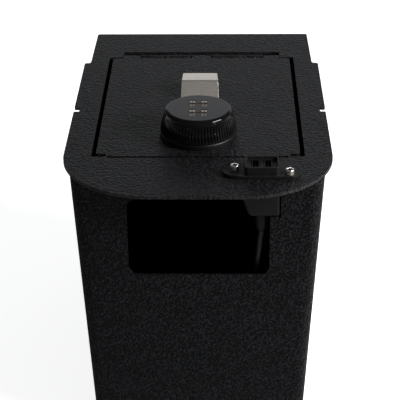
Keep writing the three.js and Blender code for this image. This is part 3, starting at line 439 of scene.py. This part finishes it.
# %% [markdown]
# ### Shading
#
# Smooth shading bends the light across a whole face, which dents a flat plate at its rounded rim. Flat
# shading shows every facet of a curve. So each corner of each face gets its own normal: a flat face keeps
# its own right to its edge, and a curved one shares its neighbours'.

# %% Shading
SMOOTH_DEGREES, FLAT_DEGREES = 34.0, 1.0
SMALL_SHARE = 0.2


def shade(piece):
    """A face is curved when a neighbour that isn't much smaller meets it at a slight angle."""
    mesh = piece.data
    normals = [polygon.normal.copy() for polygon in mesh.polygons]
    areas = [polygon.area for polygon in mesh.polygons]
    at_vertex = [[] for _ in mesh.vertices]
    at_edge = {}
    for polygon in mesh.polygons:
        for vertex in polygon.vertices:
            at_vertex[vertex].append(polygon.index)
        for key in polygon.edge_keys:
            at_edge.setdefault(key, []).append(polygon.index)
    curved = set()
    for pair in (pair for pair in at_edge.values() if len(pair) == 2):
        bend = math.degrees(normals[pair[0]].angle(normals[pair[1]], 0.0))
        for one, other in (pair, pair[::-1]):
            if FLAT_DEGREES < bend < SMOOTH_DEGREES and areas[other] > SMALL_SHARE * areas[one]:
                curved.add(one)
    near = math.cos(math.radians(1.5 * SMOOTH_DEGREES))
    corners = []
    for polygon in mesh.polygons:
        own = normals[polygon.index]
        for vertex in polygon.vertices:
            if polygon.index in curved:
                alike = (i for i in at_vertex[vertex] if normals[i].dot(own) > near)
                corners.append(sum((normals[i] * areas[i] for i in alike), Vector()).normalized())
            else:
                corners.append(own)
    mesh.polygons.foreach_set("use_smooth", [True] * len(mesh.polygons))
    mesh.normals_split_custom_set(corners)


print("flat below", FLAT_DEGREES, "degree, rounded from", SMOOTH_DEGREES, "degrees")

# %% [markdown]
# ### Rounding
#
# A bevel modifier rounds every edge that is sharper than 34 degrees, and is then applied, so that the shading
# can work on the finished faces. The radius is that of the real piece: 0.2 to 0.4 mm for painted sheet, less
# for thin strip and small parts, more for the plug that is held in the fingers.

# %% Rounded copies


def apply_modifiers(piece):
    """Gives the piece the mesh that its modifiers make of its own."""
    graph = bpy.context.evaluated_depsgraph_get()
    shaped = bpy.data.meshes.new_from_object(piece.evaluated_get(graph))
    piece.modifiers.clear()
    piece.data = shaped


def rounded(node_name, radius_mm):
    """A copy of the node with rounded edges, which stands for it."""
    piece = finished_piece(node_name + "_rounded", merged_mesh(nodes[node_name]), [node_name])
    rounding = piece.modifiers.new("rounding", "BEVEL")
    rounding.width = radius_mm * MM
    rounding.segments = 2
    rounding.limit_method = "ANGLE"
    rounding.angle_limit = math.radians(SMOOTH_DEGREES)
    rounding.use_clamp_overlap = True
    apply_modifiers(piece)
    shade(piece)
    return piece


rounded_sizes = {
    "top_plate": 0.35, "lid_panel": 0.35, "box_shell": 0.2, "back_panel": 0.3, "floor_panel": 0.4,
    "pull_handle": 0.3, "knob_rose": 0.3, "socket_housing": 0.35, "socket_rear_body": 0.25,
    "plug_grip": 0.8, "plug_shell": 0.12, "socket_port_left": 0.1, "socket_port_right": 0.1,
    "socket_tongue_left": 0.1, "socket_tongue_right": 0.1, "lead_boss": 0.3, "hinge_leaf": 0.25,
    "hinge_pin": 0.3, "lid_rest_left": 0.2, "lid_rest_right": 0.2, "lid_rest_front": 0.2,
    "left_bolt": 0.4, "right_bolt": 0.4, "front_bolt": 0.4, "left_bolt_pin": 0.2, "right_bolt_pin": 0.2,
    "front_bolt_pin": 0.2, "left_guide_inner": 0.2, "left_guide_outer": 0.2, "right_guide_inner": 0.2,
    "right_guide_outer": 0.2, "front_guide": 0.2, "lock_nut": 0.4, "lock_sleeve": 0.3, "cam_disc": 0.25,
    "cam_washer": 0.2, "cam_nut": 0.4, "knob_back_plate": 0.2, "number_wheel_front_left": 0.15,
    "number_wheel_front_right": 0.15, "number_wheel_rear_left": 0.15, "number_wheel_rear_right": 0.15,
}
pieces = {name: rounded(name, radius) for name, radius in rounded_sizes.items()}
pieces["knob_rose"].data.materials[0] = satin_abs
print(len(pieces), "rounded pieces")

# %% [markdown]

# %% [markdown]
# ## Socket screws
#
# A socket-head screw is turned on a lathe, its side is knurled and a hexagon is pressed into its top. A
# cylinder with a bevel would lack the knurl and the recess. Each screw is one loft, whose rings go up the
# shank, round the head and down into the recess. The hexagon's rings have as many points as the round ones,
# so that the two can be joined.

# %% Rings round an upright axis
PLATE_TOP = 254.0


def ring(centre, height, reach, count):
    """Points round an upright axis; reach gives the radius at each angle."""
    angles = [2 * math.pi * i / count for i in range(count)]
    return [(centre[0] + reach(a) * math.cos(a), centre[1] + reach(a) * math.sin(a), height) for a in angles]


def hexagon(half):
    """Distance from the middle to the side of a hexagon with that half width, at any angle."""
    return lambda a: half / math.cos((a + math.pi / 6) % (math.pi / 3) - math.pi / 6)


def knurled(radius, knurls=24, depth=0.14):
    """The radius of a knurled rim, at any angle."""
    return lambda a: radius - depth * (0.5 - 0.5 * math.cos(knurls * a))


print("hexagon corner at", round(hexagon(1.6)(math.pi / 6), 2), "mm")

# %% Screw finishes
# Painted shade in the pressed recess: a near-black colour, so that no bright steel shows and it is a black hole
# in the head.
painted_recess_shade = plastic("painted_recess_shade_film", "0b0a09", 0.45, 0.5, 0.01)
# Plated steel with a rolled knurl: duller and warmer than the turned faces above and below it.
knurled_steel = metal("knurled_plated_steel", "c4bcb2", 0.45, 0.5)
print("screw finishes:", painted_recess_shade.name, knurled_steel.name)

# %% Screws
SCREW_POINTS = 96
HEAD_RADIUS, HEAD_HEIGHT = 3.6, 4.1
SHANK_RADIUS = 2.0
HEX_HALF, HEX_DEPTH = 1.6, 2.6
KNURLED, RECESS = 1, 2  # material slots; turned faces stay in slot 0

for side in ("left", "right"):
    low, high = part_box("socket_screw_" + side)
    middle = ((low + high) / 2 / MM)[:2]
    bottom = low.z / MM
    top = high.z / MM
    head = top - HEAD_HEIGHT
    # Height and outline of each ring: up the shank, round the head and down into the recess.
    levels = [
        (bottom, lambda a: SHANK_RADIUS - 0.3), (bottom + 0.3, lambda a: SHANK_RADIUS),
        (head, lambda a: SHANK_RADIUS), (head, lambda a: HEAD_RADIUS - 0.2),
        (head + 0.25, lambda a: HEAD_RADIUS), (head + 0.4, knurled(HEAD_RADIUS)),
        (top - 0.65, knurled(HEAD_RADIUS)), (top - 0.5, lambda a: HEAD_RADIUS),
        (top - 0.15, lambda a: HEAD_RADIUS - 0.2), (top, lambda a: HEAD_RADIUS - 0.55),
        (top, hexagon(HEX_HALF + 0.15)), (top - 0.2, hexagon(HEX_HALF)), (top - HEX_DEPTH, hexagon(HEX_HALF)),
    ]
    mesh = loft([ring(middle, height, reach, SCREW_POINTS) for height, reach in levels])
    screw = finished_piece(f"socket_screw_{side}_turned", mesh, ["socket_screw_" + side])
    screw.data.materials.append(knurled_steel)
    screw.data.materials.append(painted_recess_shade)
    for polygon in screw.data.polygons:
        place = polygon.center / MM
        from_axis = (place.xy - Vector(middle)).length
        above_head = place.z - head
        # The faces inside the hex recess take the painted recess shade, a near-black colour.
        if from_axis < HEX_HALF + 0.25 and above_head > HEAD_HEIGHT - HEX_DEPTH - 0.1:
            polygon.material_index = RECESS
        elif from_axis > HEAD_RADIUS - 0.3 and 0.2 < above_head < HEAD_HEIGHT - 0.4:
            polygon.material_index = KNURLED
    shade(screw)
    print(screw.name, "head", round(2 * HEAD_RADIUS, 1), "mm across")

# %% [markdown]
# ## The knob's outline
#
# The knob is moulded with 72 grooves round it, so that wet or gloved fingers can turn it. Between two grooves
# a narrow land is left, and the lands are what catches the light. A bump map would not break up the
# outline, so the grooves are real: each height gives a ring with twelve points to a groove. They run out
# smoothly above and below, as a mould needs so that the knob can leave it.

# %% The knob's outline
KNOB_Y = (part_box("knob_shell")[0].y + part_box("knob_shell")[1].y) / 2 / MM
KNOB_BOTTOM, KNOB_EDGE, KNOB_TOP = 5.3, 22.0, 25.0
FOOT_RADIUS, EDGE_RADIUS, KNOB_ROUNDING = 32.5, 28.8, 3.0
SIDE_CURVE = 1.6
GROOVES, GROOVE_DEPTH, GROOVE_HALF = 72, 0.8, 0.28
GROOVE_LOW, GROOVE_LOW_FADE = 5.6, 3.0
GROOVE_HIGH, GROOVE_HIGH_FADE = 20.6, 1.3
POINTS_ROUND = 12 * GROOVES
SHOULDER_STEPS = 8


def outer_radius(height):
    """The side leans in slowly at the foot and faster towards the edge."""
    share = (height - KNOB_BOTTOM) / (KNOB_EDGE - KNOB_BOTTOM)
    return FOOT_RADIUS - (FOOT_RADIUS - EDGE_RADIUS) * share ** SIDE_CURVE


def grooved(height):
    """The knob's outline at that height."""
    share = min((height - GROOVE_LOW) / GROOVE_LOW_FADE, (GROOVE_HIGH - height) / GROOVE_HIGH_FADE)
    depth = GROOVE_DEPTH * math.sin(max(0.0, min(1.0, share)) * math.pi / 2)

    def reach(angle):
        phase = abs((GROOVES * angle / (2 * math.pi) + 0.5) % 1 - 0.5) / GROOVE_HALF
        return outer_radius(height) - depth * (math.cos(phase * math.pi / 2) ** 2 if phase < 1 else 0.0)

    return reach


heights = [KNOB_BOTTOM]
heights += [GROOVE_LOW + GROOVE_LOW_FADE * i / 4 for i in range(5)]
heights += [11.0, 13.0, 15.0, 17.0]  # where the grooves have their full depth
heights += [GROOVE_HIGH - GROOVE_HIGH_FADE * i / 4 for i in range(4, -1, -1)]
rings = [ring((0, KNOB_Y), PLATE_TOP + height, grooved(height), POINTS_ROUND) for height in heights]
for step in range(SHOULDER_STEPS + 1):
    shoulder_angle = step / SHOULDER_STEPS * math.pi / 2
    radius = EDGE_RADIUS - KNOB_ROUNDING * (1 - math.cos(shoulder_angle))
    rings.append(ring((0, KNOB_Y), PLATE_TOP + KNOB_EDGE + KNOB_ROUNDING * math.sin(shoulder_angle),
                      lambda a: radius, POINTS_ROUND))
knob = finished_piece("knob_shell_grooved", loft(rings), ["knob_shell"])
print("knob outline:", len(rings), "rings of", POINTS_ROUND, "points")

# %% [markdown]
# ## What is cut from the knob
#
# The knob is hollow from below. It has a wide seat for its back plate, a small one for the spindle's flange,
# two screw holes, a pocket and a window for each wheel, a slot for each axle, and a shallow mark between
# the two windows of a row. To weave them into the loft's rings would spoil their even spacing. So each is a
# simple closed mesh of its own, in the place of the solid model's pocket, and is cut away afterwards.

# %% Cutters
WHEEL_X, WHEEL_ROW = 5.0, 9.5
WHEEL_RADIUS, WHEEL_CENTRE = 8.6, 17.9
PLATE_SEAT_RADIUS, PLATE_SEAT_TOP = 29.8, 8.3
FLANGE_SEAT_RADIUS, FLANGE_SEAT_TOP = 7.0, 9.2
HOLE_RADIUS, HOLE_TOP, HOLE_X = 1.8, 13.6, 20
POCKET_RADIUS, POCKET_HALF_WIDTH, WINDOW_HALF_LENGTH = 9, 2.6, 6.5
MARK_HALF_LENGTH, MARK_HALF_WIDTH, MARK_DEPTH = 1.8, 0.6, 0.4
AXLE_SLOT_HALF, AXLE_SLOT_RADIUS = 12.3, 1.8
BELOW, ABOVE = KNOB_BOTTOM - 1, KNOB_TOP + 1
CUTTER_POINTS, BAR_POINTS = 64, 48


def box_cutter(x0, x1, y0, y1, z0, z1):
    """A block; y is counted from the knob's axis and z from the plate."""
    corners = [(x0, y0), (x1, y0), (x1, y1), (x0, y1)]
    return loft([[(x, KNOB_Y + y, PLATE_TOP + z) for x, y in corners] for z in (z0, z1)])


def round_cutter(radius, x, z0, z1):
    """An upright round bar."""
    return loft([ring((x, KNOB_Y), PLATE_TOP + z, lambda a: radius, CUTTER_POINTS) for z in (z0, z1)])


def bar_cutter(radius, x0, x1, y, z):
    """A round bar along X."""
    angles = [2 * math.pi * i / BAR_POINTS for i in range(BAR_POINTS)]
    return loft([[(x, KNOB_Y + y + radius * math.cos(a), PLATE_TOP + z + radius * math.sin(a))
                  for a in angles] for x in (x0, x1)])


cutters = [round_cutter(PLATE_SEAT_RADIUS, 0, BELOW, PLATE_SEAT_TOP),
           round_cutter(FLANGE_SEAT_RADIUS, 0, BELOW, FLANGE_SEAT_TOP),
           round_cutter(HOLE_RADIUS, -HOLE_X, BELOW, HOLE_TOP),
           round_cutter(HOLE_RADIUS, HOLE_X, BELOW, HOLE_TOP)]
for row in (-WHEEL_ROW, WHEEL_ROW):
    for x in (-WHEEL_X, WHEEL_X):
        left_side, right_side = x - POCKET_HALF_WIDTH, x + POCKET_HALF_WIDTH
        cutters += [bar_cutter(POCKET_RADIUS, left_side, right_side, row, WHEEL_CENTRE),
                    box_cutter(left_side, right_side, row - POCKET_RADIUS, row + POCKET_RADIUS, BELOW,
                               WHEEL_CENTRE),
                    box_cutter(left_side, right_side, row - WINDOW_HALF_LENGTH, row + WINDOW_HALF_LENGTH,
                               WHEEL_CENTRE, ABOVE)]
    cutters += [box_cutter(-MARK_HALF_LENGTH, MARK_HALF_LENGTH, row - MARK_HALF_WIDTH,
                           row + MARK_HALF_WIDTH, KNOB_TOP - MARK_DEPTH, ABOVE),
                bar_cutter(AXLE_SLOT_RADIUS, -AXLE_SLOT_HALF, AXLE_SLOT_HALF, row, WHEEL_CENTRE),
                box_cutter(-AXLE_SLOT_HALF, AXLE_SLOT_HALF, row - AXLE_SLOT_RADIUS, row + AXLE_SLOT_RADIUS,
                           BELOW, WHEEL_CENTRE)]
print(len(cutters), "cutters")

# %% [markdown]
# ## Cutting the knob
#
# A boolean modifier takes all the cutters away at once, from a collection. The exact solver is slower, but it
# copes with cutters that overlap one another. The floor and walls of each mark are then painted black.

# %% Cut the knob
cutting = bpy.data.collections.new("knob_cutters")
for number, mesh in enumerate(cutters):
    data = bpy.data.meshes.new(f"cutter_{number}")
    mesh.to_mesh(data)
    mesh.free()
    cutting.objects.link(bpy.data.objects.new(data.name, data))
boolean = knob.modifiers.new("pockets", "BOOLEAN")
boolean.operation = "DIFFERENCE"
boolean.solver = "EXACT"
boolean.operand_type = "COLLECTION"
boolean.collection = cutting
apply_modifiers(knob)
for cutter in list(cutting.objects):
    bpy.data.objects.remove(cutter)
bpy.data.collections.remove(cutting)

# Enamel in the index marks: flat black, so that a mark reads as a dark bar on the face.
index_enamel = plastic("filled_index_enamel", "050505", 0.7, 0.5, 0.005, specular=0.1)
knob.data.materials.append(index_enamel)
MARK_ZONE = (-0.5, -0.1)  # heights from the knob's face between which a mark's faces lie
for polygon in knob.data.polygons:
    place = polygon.center / MM
    from_face = place.z - PLATE_TOP - KNOB_TOP
    if abs(place.x) < MARK_HALF_LENGTH + 0.1 and MARK_ZONE[0] < from_face < MARK_ZONE[1]:
        polygon.material_index = 1
shade(knob)
print("knob", len(knob.data.polygons), "faces")

# %% [markdown]
# ## Digits
#
# Each wheel carries the digits 0 to 9, one between every two grooves. A picture of them would blur close up,
# and a text object is flat. So ten text objects give one mesh each, cut into strips less than half a
# millimetre high that can bend, and the strips are then wrapped round each wheel.

# %% Digit meshes
DIGIT_HEIGHT, STRIP_HEIGHT = 2.7, 0.45
CAPITAL_SHARE = 0.7


def digit_mesh(text):
    """A digit as a flat mesh in millimetres, centred and cut into strips."""
    curve = bpy.data.curves.new("digit", "FONT")
    curve.body = text
    curve.size = DIGIT_HEIGHT / CAPITAL_SHARE
    curve.align_x = "CENTER"
    curve.resolution_u = 4
    holder = bpy.data.objects.new("digit", curve)
    bpy.context.scene.collection.objects.link(holder)
    graph = bpy.context.evaluated_depsgraph_get()
    flat = bpy.data.meshes.new_from_object(holder.evaluated_get(graph))
    bpy.data.objects.remove(holder)
    mesh = bmesh.new()
    mesh.from_mesh(flat)
    low = min(vertex.co.y for vertex in mesh.verts)
    high = max(vertex.co.y for vertex in mesh.verts)
    for vertex in mesh.verts:
        vertex.co.y -= (low + high) / 2
    for step in range(-3, 4):
        everything = mesh.verts[:] + mesh.edges[:] + mesh.faces[:]
        bmesh.ops.bisect_plane(mesh, geom=everything, plane_co=(0, step * STRIP_HEIGHT, 0),
                               plane_no=(0, 1, 0))
    return mesh


digits = [digit_mesh(str(number)) for number in range(10)]
print("digit 8 has", len(digits[8].faces), "faces")

# %% [markdown]
# ## Number wheels
#
# Ten grooves part the digits and give a fingertip its hold. Their faces are painted black as painted shade,
# and between the pale lands they are what shows most from a distance. The digits stand a twentieth of a
# millimetre proud, as enamel does, and ride with their wheel.

# %% Number wheels
DIGIT_THICKNESS = 0.05
FIRST_DIGIT_DEGREES, DIGIT_STEP_DEGREES = 18, 36
GROOVE_ZONE = (5.0, WHEEL_RADIUS - 0.12)  # distances from the axle between which a groove's faces lie
# Painted shade in the wheels' grooves: black without gloss, so that the grooves part the lands.
painted_groove_shade = plastic("painted_groove_shade_black", "060505", 0.7, 0.5, 0.005, specular=0.1)

for row_name, row in (("front", -WHEEL_ROW), ("rear", WHEEL_ROW)):
    for side, x in (("left", -WHEEL_X), ("right", WHEEL_X)):
        wheel = f"number_wheel_{row_name}_{side}"
        wrapped = bmesh.new()
        for number, digit in enumerate(digits):
            centre = math.radians(FIRST_DIGIT_DEGREES + DIGIT_STEP_DEGREES * number)
            made = {}
            for vertex in digit.verts:
                angle = centre - vertex.co.y / WHEEL_RADIUS
                reach = WHEEL_RADIUS + DIGIT_THICKNESS
                made[vertex] = wrapped.verts.new(Vector((
                    x + vertex.co.x, KNOB_Y + row + reach * math.cos(angle),
                    PLATE_TOP + WHEEL_CENTRE + reach * math.sin(angle))) * MM)
            for face in digit.faces:
                wrapped.faces.new([made[vertex] for vertex in face.verts])
        data = bpy.data.meshes.new(wheel + "_digits")
        wrapped.to_mesh(data)
        wrapped.free()
        painted = bpy.data.objects.new(data.name, data)
        bpy.context.scene.collection.objects.link(painted)
        painted.data.materials.append(digit_paint)
        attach(painted, body_of[wheel])
        drum = pieces[wheel].data
        drum.materials.append(painted_groove_shade)
        # The grooves' faces take the painted groove shade, a flat black.
        for polygon in drum.polygons:
            place = polygon.center / MM
            from_axis = math.hypot(place.y - KNOB_Y - row, place.z - PLATE_TOP - WHEEL_CENTRE)
            if GROOVE_ZONE[0] < from_axis < GROOVE_ZONE[1] and abs(polygon.normal.x) < 0.5:
                polygon.material_index = 1
for digit in digits:
    digit.free()
print("ten digits on each of four wheels")

# %% [markdown]
# ## Light
#
# A black thing shows mostly what it mirrors, so each light is placed by where it is to be seen. There are
# five softboxes. A wide, weak one stands low behind the safe: level faces mirror it and everything that
# leans forward stays dark. The key light stands at the right, 29 degrees up. It draws the streak on the
# knob's shoulder and the specks of the powder coat, which it grazes. A low strip at the front right draws
# the bright lines on the knob's lands. One hangs above for the pull's ramp, and a weak one in front keeps
# the front wall from going black.

# %% Lights
SAFE_TOP = Vector((0.0, -0.05, 0.25))


def seen_from_safe(azimuth, elevation, distance):
    """A place at those angles from the safe's top; azimuth 0 is the front and 90 the right."""
    a, e = math.radians(azimuth), math.radians(elevation)
    return SAFE_TOP + Vector((math.sin(a) * math.cos(e), -math.cos(a) * math.cos(e), math.sin(e))) * distance


def softbox(name, place, width, height, radiance, colour=(1, 1, 1)):
    """A rectangular light that faces the safe and whose surface has the given radiance."""
    data = bpy.data.lights.new(name, "AREA")
    data.shape = "RECTANGLE"
    data.size = width
    data.size_y = height
    data.energy = radiance * math.pi * width * height
    data.color = colour
    light = bpy.data.objects.new(name, data)
    bpy.context.scene.collection.objects.link(light)
    light.location = place
    light.rotation_euler = (SAFE_TOP - place).to_track_quat("-Z", "Y").to_euler()
    light.visible_camera = False
    print(f"{name}: {data.energy:.2f} W")


softbox("back_softbox", seen_from_safe(172, 18, 1.4), width=1.7, height=0.48, radiance=0.69,
        colour=(0.97, 0.98, 1.0))
softbox("key_softbox", seen_from_safe(68, 29, 1.15), width=0.6, height=0.26, radiance=48.0)
softbox("low_strip", seen_from_safe(52, -4, 1.15), width=0.25, height=0.14, radiance=8.0)
softbox("overhead", seen_from_safe(5, 76, 1.8), width=1.1, height=0.9, radiance=0.08,
        colour=(1.0, 0.93, 0.85))
softbox("front_fill", seen_from_safe(-15, 30, 2.5), width=2.0, height=1.0, radiance=0.05,
        colour=(0.9, 0.95, 1.0))

# %% [markdown]
# ## The room
#
# The safe stands on white paper, and to the camera everything beyond it is white too. Turning the light up
# until the paper is white would wash out the safe, so only camera rays see the white. Mirror and glass rays
# see it too where the paper lies behind the safe, and below the horizon. The rest of the room is dim, as
# the reflections on the real safe are.

# %% World
ROOM_STRENGTH = 0.12


def white_seen(tree, on_paper):
    """One for camera rays, and for glossy and transmitted rays that go to the white paper."""
    ray = add(tree, "ShaderNodeLightPath").outputs
    shiny = add(tree, "ShaderNodeMath", [(0, ray["Is Glossy Ray"]), (1, ray["Is Transmission Ray"])],
                operation="MAXIMUM")
    mirrored = add(tree, "ShaderNodeMath", [(0, shiny.outputs[0]), (1, on_paper)], operation="MULTIPLY")
    seen = add(tree, "ShaderNodeMath", [(0, ray["Is Camera Ray"]), (1, mirrored.outputs[0])],
               operation="MAXIMUM")
    return seen.outputs[0]


world = bpy.data.worlds.new("studio")
bpy.context.scene.world = world
world.use_nodes = True
tree = world.node_tree
tree.nodes.clear()
around = add(tree, "ShaderNodeTexCoord")
direction = add(tree, "ShaderNodeSeparateXYZ", [("Vector", around.outputs["Generated"])])
below_horizon = add(tree, "ShaderNodeMapRange", [("Value", direction.outputs["Z"])], from_min=-0.02,
                    from_max=0.0, to_min=1.0, to_max=0.0)
white = add(tree, "ShaderNodeBackground", color=(1, 1, 1, 1), strength=1.0)
dim_room = add(tree, "ShaderNodeBackground", color=(0.9, 0.95, 1.0, 1), strength=ROOM_STRENGTH)
seen_room = add(tree, "ShaderNodeMixShader", [
    (0, white_seen(tree, below_horizon.outputs["Result"])), (1, dim_room.outputs[0]), (2, white.outputs[0])])
add(tree, "ShaderNodeOutputWorld", [("Surface", seen_room.outputs[0])])
print("world", world.name, "set")

# %% [markdown]
# ## The paper
#
# The paper is one large sheet. Its plain white shader takes the safe's shadow, and a glow is added for camera
# rays, so that the lit part comes out white and the shadow stays. Mirror rays see the glow on the sheet from
# 0.3 to 1.2 m behind the safe's middle, with soft ends.

# %% Paper
PAPER_HALF = 6.0
GLOW_BEGINS, GLOW_ENDS = (0.3, 0.5), (1.0, 1.2)
GLOW_STRENGTH = 0.85

floor_mesh = bmesh.new()
bmesh.ops.create_grid(floor_mesh, x_segments=8, y_segments=8, size=PAPER_HALF)
floor_data = bpy.data.meshes.new("studio_floor")
floor_mesh.to_mesh(floor_data)
floor_mesh.free()
studio_floor = bpy.data.objects.new("studio_floor", floor_data)
bpy.context.scene.collection.objects.link(studio_floor)

# Uncoated white paper: matt, just below full white, so that the shadow has room to show.
floor_material, tree = new_material("uncoated_white_paper")
paper = add(tree, "ShaderNodeBsdfPrincipled", base_color=linear("e8e8e8"), roughness=0.9)
where = add(tree, "ShaderNodeTexCoord")
spot = add(tree, "ShaderNodeSeparateXYZ", [("Vector", where.outputs["Object"])])
begins = add(tree, "ShaderNodeMapRange", [("Value", spot.outputs["Y"])], from_min=GLOW_BEGINS[0],
             from_max=GLOW_BEGINS[1], to_min=0.0, to_max=1.0)
ends = add(tree, "ShaderNodeMapRange", [("Value", spot.outputs["Y"])], from_min=GLOW_ENDS[0],
           from_max=GLOW_ENDS[1], to_min=1.0, to_max=0.0)
behind = add(tree, "ShaderNodeMath", [(0, begins.outputs["Result"]), (1, ends.outputs["Result"])],
             operation="MULTIPLY")
glow = add(tree, "ShaderNodeEmission", color=(1, 1, 1, 1), strength=GLOW_STRENGTH)
lit = add(tree, "ShaderNodeAddShader", [(0, glow.outputs[0]), (1, paper.outputs["BSDF"])])
seen_paper = add(tree, "ShaderNodeMixShader", [
    (0, white_seen(tree, behind.outputs[0])), (1, paper.outputs["BSDF"]), (2, lit.outputs[0])])
add(tree, "ShaderNodeOutputMaterial", [("Surface", seen_paper.outputs[0])])
studio_floor.data.materials.append(floor_material)
print("paper", 2 * PAPER_HALF, "m wide")

# %% [markdown]
# ## The view transform
#
# The Standard view shows colours as they are written.

# %% The view transform
bpy.context.scene.view_settings.view_transform = "Standard"
